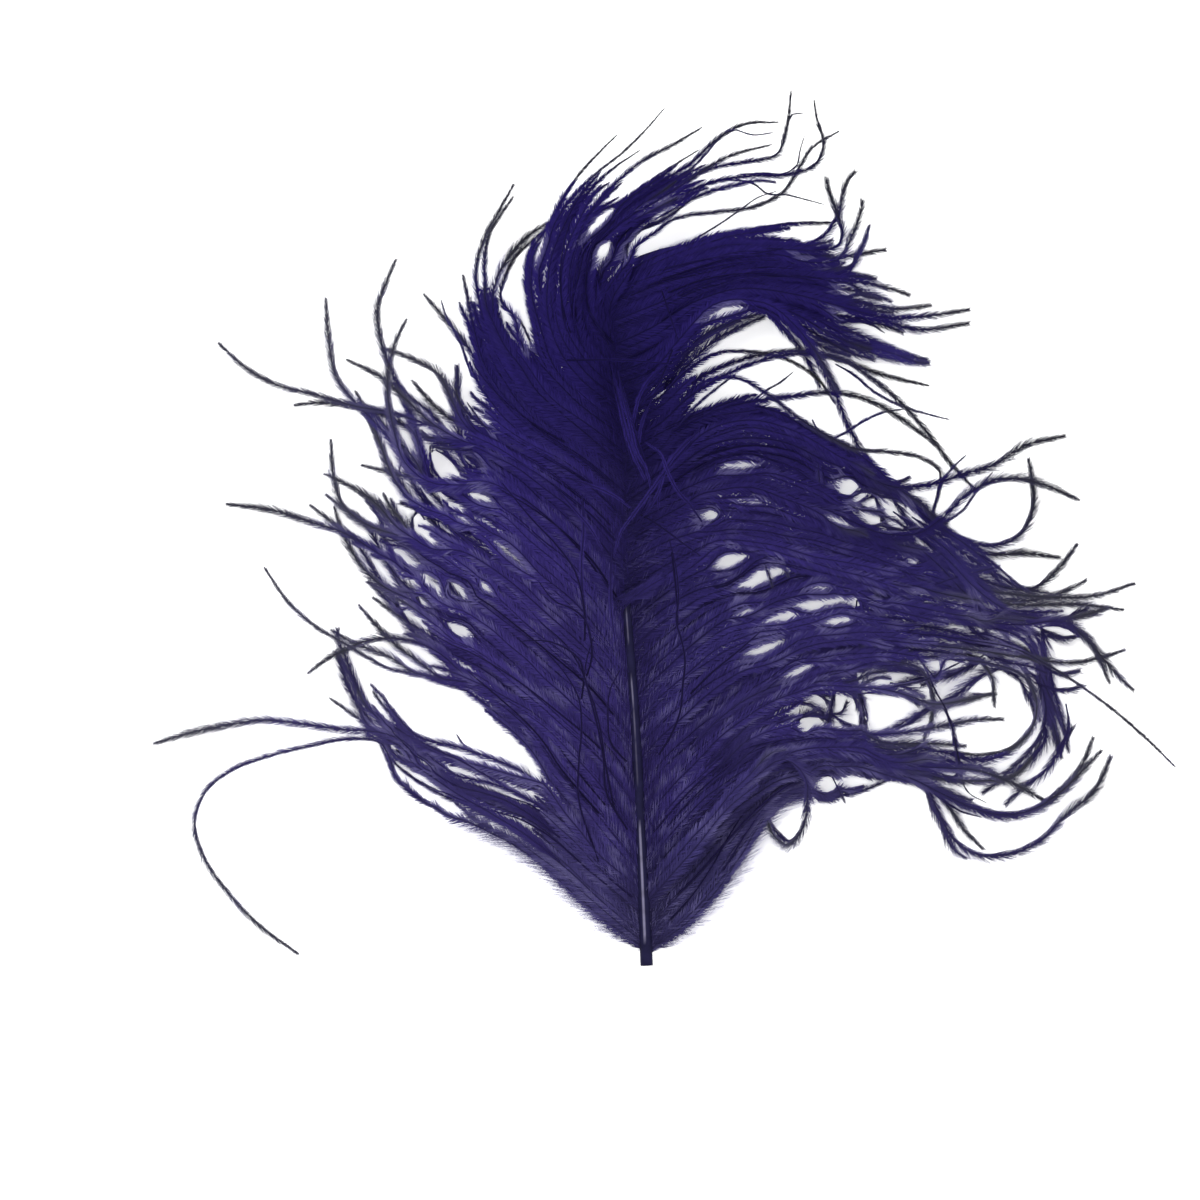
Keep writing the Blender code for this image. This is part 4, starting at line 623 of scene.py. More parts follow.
    Strand(6, 5, 0, 0.8, 0.6, [38.4,88.9, 41.6,87.2, 44.5,85.9, 47.3,84.9, 50.2,83, 54,82.1]),
    Strand(6, 5, 0, 1.03, 0.6, [42.2,91, 43.5,89.3, 44.5,87.2, 45.2,84.9, 46.4,82.7]),
    Strand(6, 5, 0, 1.15, 0.6, [45.4,91, 46.9,89.1, 48.3,87.2, 49.8,84.9, 51.7,82.8]),
    Strand(6, 5, 0, 1.03, 0.6, [46.4,91, 48.3,89.5, 50.5,87.8, 53,85.5, 55.1,83.4]),
    Strand(6, 5, 0, 1.03, 0.6, [32.1,88.7, 34.8,87.6, 37.8,86.1, 40.7,84.5, 43.5,82.3, 46.7,80.6]),
    Strand(10, 8, 0, 0.92, 0.6, [31.5,103.9, 33.1,100.1, 32.7,96.3, 32.9,92.5, 33.1,88.7, 33.1,85.3,
        31.5,81.1, 29.6,77.7]),
    Strand(9, 8, 0, 0.8, 0.6, [33.4,94.4, 34,90.6, 33.8,87.8, 33.1,84.9, 32.3,83]),
    Strand(8, 7, 0, 0.69, 0.6, [21.1,80.2, 22.2,77.3, 23.2,75, 24.1,72]),
    Strand(8, 7, 0, 0.69, 0.6, [23.6,79.6, 24.9,78.1, 26,76.2, 27.2,73.9]),
    Strand(7, 6, 0, 1.49, 0.6, [40.1,69.7, 39.5,64, 39,59.3, 39.3,55.5, 40.3,52.2, 41.4,48.8,
        41.8,44.1]),
    Strand(5, 4, 0, 0.92, 0.6, [40.3,52.2, 40.7,49.8, 41,46.9, 40.9,44.1]),
    Strand(4, 4, 0, 1.26, 0.6, [60.6,52.6, 57.4,50.5, 54,49.2, 51.1,47.5, 48.3,46, 45.4,44.5,
        41.6,43.5]),
    Strand(6, 4, 0, 1.15, 0.6, [36.5,54.5, 35.9,52.6, 35.5,50.4, 35,47.7, 34.2,45, 33.1,42.2]),
    Strand(4, 4, 0, 1.38, 0.6, [28.3,43.5, 28.9,46.5, 30.4,47.9, 32.3,48.1, 34.2,47.7, 36.9,48.1,
        38.4,50.2]),
    Strand(4, 4, 0, 1.84, 0.6, [69.2,56.8, 67.3,56.6, 65,56, 62.5,54.5, 60,52.4, 57.4,50.4,
        55.1,49.2]),
    Strand(4, 4, 0, 1.26, 0.6, [64.4,59.3, 62.5,58, 60.6,56.6, 58.3,55.3, 55.5,54.5, 52.4,53.4]),
    Strand(3, 4, 0, 1.38, 0.6, [66.5,52.1, 64.4,51.7, 60.6,50.7, 57.8,50, 54.9,49.6]),
    Strand(4, 3, 0, 1.26, 0.6, [65.4,57.4, 68.2,56.4, 70.7,55.1, 72.4,52.2, 73.7,49.6, 74.3,47.3]),
    Strand(4, 2, 0, 1.84, 0.6, [74.9,65.9, 75.8,62.1, 76,59.3, 76.4,56, 76.6,52.6, 77.1,48.8, 77.9,45,
        78.8,41.2]),
    Strand(4, 2, 0, 1.49, 0.6, [72,56.8, 74.9,54.1, 76,50.7, 76.2,47.3, 75.2,43.7, 73.3,41, 71.1,38.8,
        68.2,36.5]),
    Strand(4, 2, 0, 1.15, 0.6, [76.8,57.4, 77.5,53, 78.7,49.2, 79.8,45, 80.6,40.7]),
    Strand(2, 2, 0, 1.15, 0.6, [80.2,41.6, 80.6,43.7, 81.3,45.6]),
    Strand(4, 3, 0, 1.15, 0.6, [75.8,56.8, 77.7,55.9, 79.8,55.7, 82.7,56.2]),
    Strand(3, 3, 0, 1.03, 0.6, [75.8,53, 78.3,52.6, 80.6,52.6, 83.2,53.4]),
    Strand(4, 3, 0, 1.26, 0.6, [73.9,65, 76.4,63.6, 78.7,62.5, 81.7,62.5]),
    Strand(3, 2, 0, 1.15, 0.6, [77.7,65.7, 80.2,66.3, 82.1,67.3, 84.4,68.2]),
    Strand(3, 2, 0, 1.03, 0.6, [79.6,65.9, 83.4,66.7, 85.9,67.3, 87.8,68.2]),
    Strand(3, 1, 2, 0.8, 0.3, [-20.1,23.8, -25.8,26.8, -29.6,28.7, -34.4,31, -38.2,32.3, -41,33.8,
        -43.9,35.5, -46.7,37.6, -49,39.9]),
    Strand(4, 2, 3, 1.38, 0.3, [-16.3,19.9, -23.9,25.8, -27.7,28.1, -31.5,30.4, -35.3,32.5,
        -38.2,34.4, -41,36.3, -44.8,38.2, -47.7,40.3, -50.5,42.9, -53.2,44.1]),
    Strand(5, 2, 3, 1.26, 0.3, [-16.3,24.5, -22,28.9, -26.8,31.7, -31.5,33.2, -36.3,34.4, -39.1,35.5,
        -42,37.4, -44.8,39, -47.5,41.2]),
    Strand(5, 2, 3, 1.03, 0.3, [-16.3,27.6, -22,31.7, -25.8,33.6, -29.6,35, -33.4,35.7, -36.3,36.5,
        -38.2,37.8, -41,39.9, -42.9,42.2, -44.8,44.1, -47.1,46.5, -49,48.8]),
    Strand(5, 2, 3, 0.69, 0.3, [-20.1,30.8, -24.9,33.2, -27.7,35, -30.6,36.5, -33.4,38.2, -36.3,39.7,
        -39.1,40.9, -42.9,42.8, -45.8,44.3, -49.6,46.9, -52.1,49.8]),
    Strand(5, 2, 3, 1.15, 0.3, [-20.1,33.2, -22.4,36.3, -25.8,38.2, -29.6,39.7, -33.4,41, -37.2,42.2,
        -41,42.9, -43.9,44.1, -46.4,46.5, -48.3,48.8, -50.5,51.7, -52.4,53.6]),
    Strand(3, 1, 2, 0.92, 0.3, [-41,31.2, -43.9,32.5, -46.7,35, -48.6,38.2, -50.5,42]),
    Strand(2, 2, 0, 1.49, 0.3, [23,29.4, 24.5,26, 27,23.8, 28.7,24.5]),
    Strand(6, 3, 3, 1.38, 0.3, [10.3,39.3, 16,45.4, 21.7,50.2, 27.4,52.2, 32.1,52.6, 35.7,51.3]),
    Strand(6, 3, 3, 1.49, 0.3, [11.2,37.8, 16.9,43.5, 22,47.9, 26.4,50, 30.2,50.2, 33.4,48.5,
        35.3,46.2]),
    Strand(6, 3, 3, 1.49, 0.3, [12.5,36.3, 18.2,42.2, 23.2,45.8, 28.1,47.7]),
    Strand(6, 3, 3, 1.38, 0.3, [8.4,41.2, 14.1,47.3, 19.8,51.3, 26.4,53.8, 33.1,54, 38.8,52.6,
        41.8,50.7]),
    Strand(6, 3, 3, 1.38, 0.3, [13.3,34.4, 19,40.1, 23.9,43.5, 28.5,43.9, 33.1,43.5]),
    Strand(4, 7, 3, 0.92, 0.3, [1.7,142.1, 4.2,143.4, 8.4,145.7, 12.2,147.2, 16.9,148.4, 21.7,149.3,
        24.7,149]),
    Strand(5, 3, 3, 1.49, 0.3, [36.9,118.8, 40.7,118.2, 44.5,117.2, 48.3,116.1, 51.1,115.1,
        53.6,114.6]),
    Strand(7, 4, 2, 1.38, 0.3, [46.9,86.5, 51.1,83.6, 56.8,79.6, 62.5,73.5, 67.3,69, 71.4,65]),
    Strand(7, 4, 2, 1.38, 0.3, [44.5,84.9, 49.2,81.5, 54.9,77, 60,71.6, 64.4,67.5, 69.2,62.1]),
    Strand(6, 4, 2, 1.38, 0.3, [42.9,80.2, 49.2,78.8, 55.9,74.9, 60.6,70.1, 64.4,65]),
    Strand(6, 5, 2, 1.26, 0.3, [48.3,74.5, 53,77, 57.8,79.2, 61.9,80.6]),
    Strand(6, 5, 2, 1.26, 0.3, [49.2,69.7, 54.9,72.6, 60.6,74.5, 67.3,76]),
    Strand(6, 4, 3, 1.38, 0.3, [51.7,81.9, 57.4,77.3, 62.5,72, 69.2,67.5, 74.9,66.3]),
    Strand(6, 3, 2, 1.38, 0.3, [44.5,77.3, 51.1,73.5, 57.8,67.8, 64.4,62.1, 69.2,56.8]),
    Strand(6, 3, 3, 1.38, 0.3, [54,82.3, 58.7,77.3, 61.9,71.6, 64.4,65, 65.7,58.3]),
    Strand(6, 5, 2, 1.26, 0.3, [33.4,94.4, 34.6,91.2, 36.1,88.7, 39.1,87.8, 42.2,89.1, 44.5,90.2]),
    Strand(5, 4, 2, 1.49, 0.3, [49.2,83.6, 53.6,80.9, 58.1,78.1, 63.1,75.6, 65.7,75]),
    Strand(5, 3, 2, 1.49, 0.3, [26.4,50.4, 29.3,51.7, 31.5,52.2, 33.8,51.3, 35,49.6]),
    Strand(5, 3, 2, 1.61, 0.3, [27.4,46.2, 29.8,47.5, 32.1,47.9, 34.2,46.9]),
    Strand(5, 3, 2, 1.49, 0.3, [35.3,48.1, 37.8,46.2, 40.7,44.8]),
    Strand(5, 3, 2, 1.38, 0.3, [35.7,52.2, 38,52.6, 39.7,51.1, 40.7,48.6]),
    Strand(5, 3, 2, 1.38, 0.3, [41,51.9, 44.5,52.2, 47.7,52.1, 50.2,51.1, 52.2,49.6]),
    Strand(4, 3, 1, 1.49, 0.1, [46.4,40.9, 50.2,40.5, 54,39.7, 58.7,38.8, 62.5,37.8]),
    Strand(4, 3, 1, 1.49, 0.1, [48.3,38.8, 53,38.4, 56.8,38, 60.6,36.9]),
    Strand(4, 3, 1, 1.15, 0.1, [44.5,42, 48.3,41.6, 52.1,41.4]),
    Strand(14.5, 12.2, 1, 0.59, 0, [-6.5,113.8, -5.5,109.2, -4.6,104.9, -3.4,100.1, -1.9,96, 0,92.2]),
    Strand(14.6, 12, 1, 0.54, 0, [-5.3,113, -4.2,107.7, -3,103, -1.9,98.2, 0,94.4, 1.1,90.2]),
    Strand(14.5, 13, 1, 0.45, 0, [4.2,114.4, 1.1,111.9, -1.1,108.5, -2.1,104.9, -2.7,100.1]),
    Strand(13, 10.5, 1, 0.5, 0, [8.7,99.8, 6.1,96.7, 3.4,93.7, 1.1,90.6, -1.9,86.5, -4.6,82.7,
        -6.1,78.1]),
    Strand(13.2, 11.5, 1, 0.5, 0, [10.3,102, 7.2,99, 4.2,95.2, 2.7,91.4, 2.3,86.8]),
    Strand(11.5, 9, 1, 0.5, 0, [-12,89.5, -11.8,83, -12.2,76.4, -11.8,69.7, -10.6,62.1]),
    Strand(10.5, 8.5, 1, 0.5, 0, [-6.5,78.8, -6.7,72.6, -6.5,66.9, -5.7,61.2]),
    Strand(11.5, 10.5, 1, 0.45, 0, [-17.1,91, -13.5,86.8, -10.3,83, -8,78.8]),
    Strand(14, 12.5, 1, 0.45, 0, [1.1,107.7, -0.8,103, -1.5,98.2]),
    Strand(11.5, 12.5, 1, 0.41, 0, [-1.5,84.2, 1.1,87.8, 2.7,91, 3.4,94.8]),
    Strand(12, 13.5, 1, 0.45, 0, [10.6,84.5, 8.4,87.6, 6.1,90.2, 4.2,93.7, 2.7,97.3, -0.2,99.6]),
    Strand(12.5, 12, 1, 0.45, 0, [-15.2,92.9, -10.6,91.4, -6.5,89.7, -2.7,87]),
    Strand(11.7, 10.5, 1, 0.35, 0, [-1.1,85.9, 1.1,84.7, 3.6,83, 6.8,80.6, 10.3,78.1]),
    Strand(10.5, 9, 1, 0.35, 0, [4.9,78.8, 5.5,73.5, 5.9,68.8, 6.1,65]),
    Strand(7, 6, 2, 1.38, 0.1, [-27.4,90.2, -31.2,92, -34.2,94.8, -35.3,97.8, -35.7,100.5]),
    Strand(7, 6, 2, 1.49, 0.1, [-26.2,90.8, -29.6,93.3, -32.7,96.3, -35,98.8]),
    Strand(6, 5, 2, 1.38, 0.1, [-28.5,89.9, -32.7,91, -36.5,91.6]),
    Strand(7, 6, 2, 1.38, 0.1, [-24.7,89.9, -28.1,92.5, -31.2,95, -33.4,97.3]),
    Strand(7, 6, 2, 1.38, 0.1, [-27.7,91.4, -29.6,94, -30.8,96.7, -31.5,99.2]),
    Strand(8.5, 7.5, 1, 0.72, 0, [-4.6,67.5, -3,69.5, -1.1,71.1, 1.1,72.6, 3.4,73.9]),
    Strand(6, 6, 1, 1.26, 0.1, [-42.9,91, -41.4,88.5, -39.1,85.7, -36.3,82.7, -33.1,79.8, -29.3,77.1,
        -25.5,74.7]),
    Strand(6, 6, 1, 1.38, 0.1, [-40.3,86.5, -37.2,83.8, -33.8,81.3, -30.4,79, -26.6,76.2]),
    Strand(6, 6, 1, 1.38, 0.1, [-39.1,83.4, -35.7,80.9, -32.1,78.7, -28.3,76.4, -24.7,74.1]),
    Strand(6, 6, 1, 1.38, 0.1, [-37.6,84.9, -34.2,82.8, -30.8,80.8, -27.4,78.7, -23.9,76.4]),
    Strand(5, 6, 1, 1.15, 0.1, [-41,99, -40.9,96.1, -39.7,93.3, -37.2,91.4]),
    Strand(5, 6, 1, 1.15, 0.1, [-39.9,98.2, -37.2,96.7, -35.1,94.4, -32.5,92.2]),
    Strand(5, 6, 1, 1.03, 0.1, [-35.3,97.3, -33.4,95.2, -31.2,93.1, -28.5,91.2]),
    Strand(6, 4, 1, 1.38, 0.3, [46.4,65.5, 51.1,65, 56.8,64, 62.5,62.5, 68.2,61.2]),
    Strand(6, 4, 1, 1.38, 0.3, [45.4,64.4, 51.1,63.6, 56.8,62.7, 62.5,61.2, 67.3,59.5]),
    Strand(6, 4, 1, 1.15, 0.3, [49.2,60.6, 54,60, 58.7,59.5, 62.5,58.3]),
    Strand(6, 4, 1, 1.26, 0.3, [63.5,64.6, 68.2,63.8, 71.1,62.7, 73.5,60.6, 75.2,57.6]),
    Strand(6, 4, 1, 1.15, 0.3, [61.6,63.5, 65.7,62.9, 69.5,61.2, 72.6,59.1]),
    Strand(5, 4, 1, 1.15, 0.3, [62.5,61.4, 66.9,60.4, 71.1,59.5, 74.9,58]),
    Strand(5, 4, 1, 1.26, 0.3, [63.1,60, 66.9,58.5, 70.1,57.6, 73.3,57, 76.4,55.7]),
    Strand(5, 4, 1, 1.15, 0.3, [66.3,67.8, 71.1,67.6, 74.9,67.3, 79.4,67.6]),
    Strand(5, 4, 1, 1.03, 0.3, [74.5,64.4, 77.1,65, 79.8,64.6, 82.5,62.9]),
    Strand(5, 4, 1, 1.03, 0.3, [44.5,56, 48.3,56.4, 52.8,55.5]),
    Strand(5, 3, 1, 1.15, 0.3, [46.4,54, 49.8,53, 53.2,51.1]),
    Strand(4, 3, 1, 1.15, 0.3, [47.5,45, 51.1,46.9, 54.3,49]),
    Strand(4, 3, 1, 1.15, 0.1, [48.3,42.4, 52.4,41.6, 56.8,40.7, 60.8,39.9]),
    Strand(4, 2, 1, 1.26, 0.3, [58.1,40.3, 62.5,39.3, 65.9,39.5, 69,40.7, 71.4,42.8, 73.5,45.4,
        74.5,48.5]),
    Strand(5, 3, 1, 0.8, 0.3, [56.6,49.2, 58,46.2, 58.9,42.4, 59.5,38.4, 60.2,34.6]),
    Strand(11.5, 11, 1, 0.8, 0.1, [-7.6,130.2, -6.1,132.4, -4.9,134.7, -4.2,137.2, -2.7,139.3]),
    Strand(11.5, 11, 1, 0.8, 0.1, [-6.5,129, -4.9,131.7, -4,134.3, -3.4,136.8]),
    Strand(11.5, 10, 1, 1.03, 0.1, [-4.6,133.9, -3.4,137, -1.7,139.3, 0.4,140.6, 3,141.7, 5.7,143.1]),
    Strand(8.5, 7.5, 1, 1.38, 0.1, [-6.8,69.5, -4.8,70.1, -2.5,70.9, 0,72.2, 2.7,73.9]),
    Strand(8.5, 7.5, 1, 1.26, 0.1, [-5.7,67.8, -3.6,69.5, -1.1,70.5, 1.5,71.6]),
    Strand(5, 4, 1, 1.61, 0.1, [36.5,42.4, 41,41.4, 45.6,40.5, 50.2,39.7, 54.9,39]),
    Strand(5, 4, 1, 1.49, 0.1, [37.8,40.9, 42.6,39.9, 47.3,39, 52.1,38.4, 56.8,38]),
    Strand(5, 5, 1, 1.49, 0.3, [37.8,56.6, 42.6,57, 47.3,56.8, 53,56]),
    Strand(7, 4, 1, 1.49, 0.3, [50.5,85.5, 54.9,82.5, 59.3,79.4, 63.8,76.2, 68.8,72]),
    Strand(7, 4, 1, 1.38, 0.3, [52.1,86.1, 56.6,83, 61.2,80, 65.9,76.2]),
    Strand(8, 8, 1, 1.03, 0.1, [-17.5,123.3, -17.3,127.1, -16.9,132.1, -16.3,135.7, -15.4,137.9,
        -14.4,139.8, -13.3,142.5, -11.4,144.4]),
    Strand(11.5, 11, 1, 1.03, 0.1, [-8.7,128.2, -7.6,130.3, -6.5,132.2, -5.1,133.9, -4.2,135.8,
        -3.6,138.1]),
    Strand(9, 7, 1, 1.26, 0.3, [23.2,123.7, 24.9,122.2, 27,120.3, 29.3,117.4, 31.4,114, 33.1,110]),
]

# ---- Lines in the plan ---------------------------------------------------------------------------


def arc_lengths(points):
    """How far each point lies along its line."""
    steps = np.linalg.norm(np.diff(points, axis=0), axis=1)
    return np.concatenate([[0.0], np.cumsum(steps)])


def rows_at(rows, distance, at):
    """Rows that are known at these distances, worked out for others."""
    return np.stack([np.interp(at, distance, column) for column in rows.T], axis=1)


def places_along(points, at):
    """The places on a line of points, at these distances along it."""
    return rows_at(points, arc_lengths(points), at)


def points_of(route):
    """The points of a route, whose numbers stand one after another."""
    return np.reshape(route, (-1, 2))


def smooth_line(points, step):
    """A smooth line through the points (Catmull-Rom), with places evenly spaced along it."""
    lengths = arc_lengths(points)
    slopes = np.gradient(points, lengths, axis=0)
    fine = np.arange(0.0, lengths[-1], step / 4)
    span = np.clip(np.searchsorted(lengths, fine, side="right") - 1, 0, len(points) - 2)
    width = (lengths[span + 1] - lengths[span])[:, None]
    t = (fine - lengths[span])[:, None] / width
    curve = ((2 * t**3 - 3 * t**2 + 1) * points[span] + (t**3 - 2 * t**2 + t) * width * slopes[span]
             + (3 * t**2 - 2 * t**3) * points[span + 1] + (t**3 - t**2) * width * slopes[span + 1])
    curve = np.vstack([curve, points[-1]])
    total = arc_lengths(curve)[-1]
    count = max(3, int(round(total / step)) + 1)
    return places_along(curve, np.linspace(0.0, total, count))


def side_of(line):
    """The direction to the left of a plan line, at each of its places."""
    ahead = np.gradient(line, axis=0)
    ahead /= np.linalg.norm(ahead, axis=1)[:, None]
    return np.stack([-ahead[:, 1], ahead[:, 0]], axis=1)


def ease(x):
    """0 below 0, 1 above 1, and a smooth step between them."""
    x = np.clip(x, 0.0, 1.0)
    return x * x * (3 - 2 * x)


def rising(x, start, length):
    """0 up to the start, 1 from a length beyond it, and a smooth step between them."""
    return ease((x - start) / length)


# ---- Places along the shaft ----------------------------------------------------------------------

SHAFT_POINTS = points_of(SHAFT_ROUTE)
SHAFT_LENGTH = arc_lengths(SHAFT_POINTS)[-1]


def shaft_place(distance):
    """The place in the plan, this far along the shaft."""
    return places_along(SHAFT_POINTS, np.array([distance]))[0]


def shaft_radius(distance):
    """Radius of the shaft, which tapers evenly to its tip."""
    return QUILL_RADIUS + (SHAFT_TIP_RADIUS - QUILL_RADIUS) * distance / SHAFT_LENGTH


def shaft_height(distance):
    """Height of the middle of the shaft, which lies flat and then arches up to the tip."""
    share = np.maximum(0.0, distance - FLAT_LENGTH) / (SHAFT_LENGTH - FLAT_LENGTH)
    return shaft_radius(distance) + SHAFT_RISE * share**RISE_CURVE


# ---- Barbs ---------------------------------------------------------------------------------------
#
# path       the places of the barb's middle, PATH_STEP apart
# left       how far its barbules reach to the left of it at each place, and right to the right
# pitch      how far apart they stand there
# lean       degrees between them and the barb there
# free       0 where it runs inside the vane, 1 where it runs on alone
# tone       its shade: its own, with painted shade where barbs pile up near the tip
# streaks    how pale its barbules are in streaks

Barb = namedtuple("Barb", "path left right pitch lean free tone streaks")

# The way of a lock: its path in three dimensions, and how far along it its longest barb gets free.

Lane = namedtuple("Lane", "path free_at lock")

# How the barbs of a group of locks differ from those of the others:
#
# strand     how far barbules reach on a barb that runs on alone, and tip at its end
# beside     how far the companions of a long barb keep to its sides
# ends       where they end, as shares of the way from where the lock opens to its tip
# widest     how far neighbouring locks may part before the barbs between them end
# fills      where those end, as shares of the way to where the locks open
# grey       how long the grey end of a barb is that runs on alone
# tone       how light they are

Style = namedtuple("Style", "strand tip beside ends widest fills grey tone")

LEFT_SIDE = Style(strand=1.2, tip=0.5, beside=0.65, ends=(-0.25, 0.25), widest=9.0,
                  fills=(0.7, 1.05), grey=34.0, tone=1.0)
RIGHT_SIDE = Style(strand=1.35, tip=0.6, beside=0.7, ends=(-0.2, 0.35), widest=10.0,
                   fills=(0.65, 1.05), grey=24.0, tone=0.85)
FINE = Style(strand=0.8, tip=0.3, beside=0.6, ends=(-0.1, 0.4), widest=4.5,
             fills=(0.5, 0.9), grey=22.0, tone=0.95)
BUNDLED = Style(strand=1.2, tip=0.7, beside=0.7, ends=(0.0, 0.55), widest=8.0,
                fills=(0.8, 1.3), grey=12.0, tone=0.95)


def distances(path):
    """How far each place of a path lies along it."""
    return np.arange(len(path)) * PATH_STEP


def sway(distance, chance):
    """A slow sideways wandering of a barb, which starts at nothing."""
    long_wave = chance.uniform(*LONG_WAVES)
    short_wave = chance.uniform(*SHORT_WAVES)
    phases = chance.uniform(0.0, 2 * math.pi, 2)
    wave = (np.sin(2 * math.pi * distance / long_wave + phases[0])
            + SHORT_SWAY * np.sin(2 * math.pi * distance / short_wave + phases[1]))
    return SWAY * wave * rising(distance, *SWAY_SPAN)


def layer(distance, chance):
    """How far a barb lies over or under its lane."""
    return chance.uniform(*LAYER_RANGE) * LAYER_SPREAD * rising(distance, *LAYER_SPAN)


def lane_of(lock):
    """The way of a lock, from the shaft to the tip of its longest barb."""
    root = shaft_place(lock.root)
    cover = rising(lock.root, *COVER_SPAN)
    route = points_of(lock.route)
    across = math.copysign(cover * COVER_ACROSS, root[0] - route[1, 0])
    corners = np.vstack([root + (across, 0.0), route])
    free_at = arc_lengths(corners)[min(lock.free_from, len(corners) - 1)]
    line = smooth_line(corners, PATH_STEP)
    share = arc_lengths(line) / arc_lengths(line)[-1]
    start = shaft_height(lock.root) + COVER_RISE * cover
    level = start + (lock.rest + TIP_REST - start) * share
    height = level + lock.lift * np.sin(math.pi * share)
    return Lane(np.column_stack([line, height]), free_at, lock)


def along_and_across(gap, places):
    """How far places lie along and across a gap, from its middle, and which way across is."""
    turn = math.radians(gap.turn)
    ahead = np.array([math.cos(turn), math.sin(turn)])
    aside = np.array([-ahead[1], ahead[0]])
    offset = places[:, :2] - (gap.x, gap.y)
    return offset @ ahead, offset @ aside, aside


def parted(path):
    """The path, led round the gaps that show in the vane."""
    path = path.copy()
    for gap in GAPS:
        along, across, aside = along_and_across(gap, path)
        inside = np.abs(along) < gap.length / 2
        if not inside.any():
            continue
        side = 1.0 if across[inside].mean() > 0 else -1.0
        half_width = gap.width / 2 + GAP_MARGIN
        room = half_width * (1 - (2 * along / gap.length) ** 2)
        band = GAP_BAND * half_width
        moved = inside & (side * across < band) & (side * across > -band)
        push = room * (1 - side * across / band)
        path[:, :2] += np.where(moved, side * push, 0.0)[:, None] * aside
    return path


def in_a_gap(places):
    """1 where a place lies in one of the gaps, 0 elsewhere."""
    inside = np.zeros(len(places))
    for gap in GAPS:
        along, across, _ = along_and_across(gap, places)
        along = along / (gap.length / 2)
        across = across / (gap.width / 2 + GAP_MARGIN)
        inside[along**2 + across**2 < 1] = 1.0
    return inside


def parted_inside(lane):
    """A lane's path, led round the gaps as long as it runs inside the vane."""
    inside = 1 - ease((distances(lane.path) - lane.free_at + GAP_FADE) / GAP_FADE)
    return lane.path + (parted(lane.path) - lane.path) * inside[:, None]


def opened(distance, free_at):
    """0 where a barb runs in its lock, 1 where the lock has opened."""
    start, length = OPENING
    return rising(distance, start * free_at, length * free_at)


def reach_of(distance, free_at, style, taper):
    """How far barbules stand out along a barb: most of all near the shaft."""
    left_over = distance[-1] - distance
    reach = INNER_REACH + (LOCK_REACH - INNER_REACH) * rising(distance, *LOCK_SPAN)
    reach = reach + (style.strand - reach) * opened(distance, free_at)
    reach = style.tip + (reach - style.tip) * ease(left_over / taper)
    root = ROOT_REACH + (1 - ROOT_REACH) * rising(distance, *ROOT_REACH_SPAN)
    return reach * root * ease(END_REACH + left_over / END_LENGTH)


def edged(reach, path, rim, fringe):
    """The reach to the left and to the right of a barb that may be the edge of the vane."""
    distance = distances(path)
    upper = np.minimum(reach, rim) if rim else reach
    fade = rising(distance, *FRINGE_SPAN) * (1 - rising(distance, *FRINGE_ENDS))
    lower = np.maximum(FRINGE_BACK * reach, fringe * fade) if fringe else reach
    upward_left = side_of(path[:, :2])[len(path) // 3][1] > 0
    left, right = (upper, lower) if upward_left else (lower, upper)
    return left, right, lower > FRINGE_FROM


def barb_along(path, free_at, style, chance, taper=SHORT_TAPER, rim=0, fringe=0):
    """A barb with its barbules set for its place in the vane.

    Rim and fringe are how far they reach up and down in the picture where it is the vane's edge.
    """
    distance = distances(path)
    reach = reach_of(distance, free_at, style, taper)
    left, right, fringed = edged(reach, path, rim, fringe)
    left_over = distance[-1] - distance
    free = rising(distance, FREE_FROM * free_at, FREE_LENGTH) * ease(GREY_MORE - left_over / style.grey)
    free = np.maximum(free, LOW_GREY * (1 - rising(path[0][1], *LOW_SPAN)))
    closer = rising(distance, PITCH_FROM * free_at, PITCH_LENGTH)
    pitch = np.where(fringed, FRINGE_PITCH, VANE_PITCH + (FREE_PITCH - VANE_PITCH) * closer)
    lean = LEAN + (FREE_LEAN - LEAN) * opened(distance, free_at)
    # painted shade: barbs near the tip are darkened where they pile thick
    darker = 1 - PILE_PAINTED_SHADE * rising(path[0][1], *PILE_SHADE_SPAN)
    tone = style.tone * darker * chance.uniform(*TONES)
    streaks = STREAKS * (1 - rising(path[0][1], *STREAKS_SPAN))
    return Barb(path, left, right, pitch, lean, free, tone, streaks)


def companion(lane, aside, style, chance):
    """A shorter barb that keeps beside the long one of its lane."""
    hair = lane.lock.hair
    length = (len(lane.path) - 1) * PATH_STEP
    share = style.ends[0] if hair else chance.uniform(*style.ends)
    least = HAIR_LEAST if hair else COMPANION_LEAST
    end = lane.free_at + share * (length - lane.free_at)
    end = np.clip(end, least * length, COMPANION_MOST * length)
    path = lane.path[:max(LEAST_PLACES, int(end / PATH_STEP))].copy()
    distance = distances(path)
    gathered = rising(distance, *GATHER_SPAN)
    shift = shaft_place(lane.lock.root + ROOT_ASIDE * aside) - lane.path[0, :2]
    path[:, :2] += shift * (1 - gathered)[:, None]
    away = aside * gathered + sway(distance, chance)
    splay = math.copysign(chance.uniform(*SPLAY_RANGE) * END_SPLAY, aside)
    away += splay * ease((distance - end + SPLAY_LENGTH) / SPLAY_LENGTH) ** 2
    side = side_of(path[:, :2])
    side *= math.copysign(1.0, side[len(path) // 3][1])
    path[:, :2] += side * away[:, None]
    path[:, 2] += layer(distance, chance)
    barb = barb_along(parted(path), lane.free_at, style, chance)
    return barb._replace(free=np.minimum(barb.free, COMPANION_GREY))


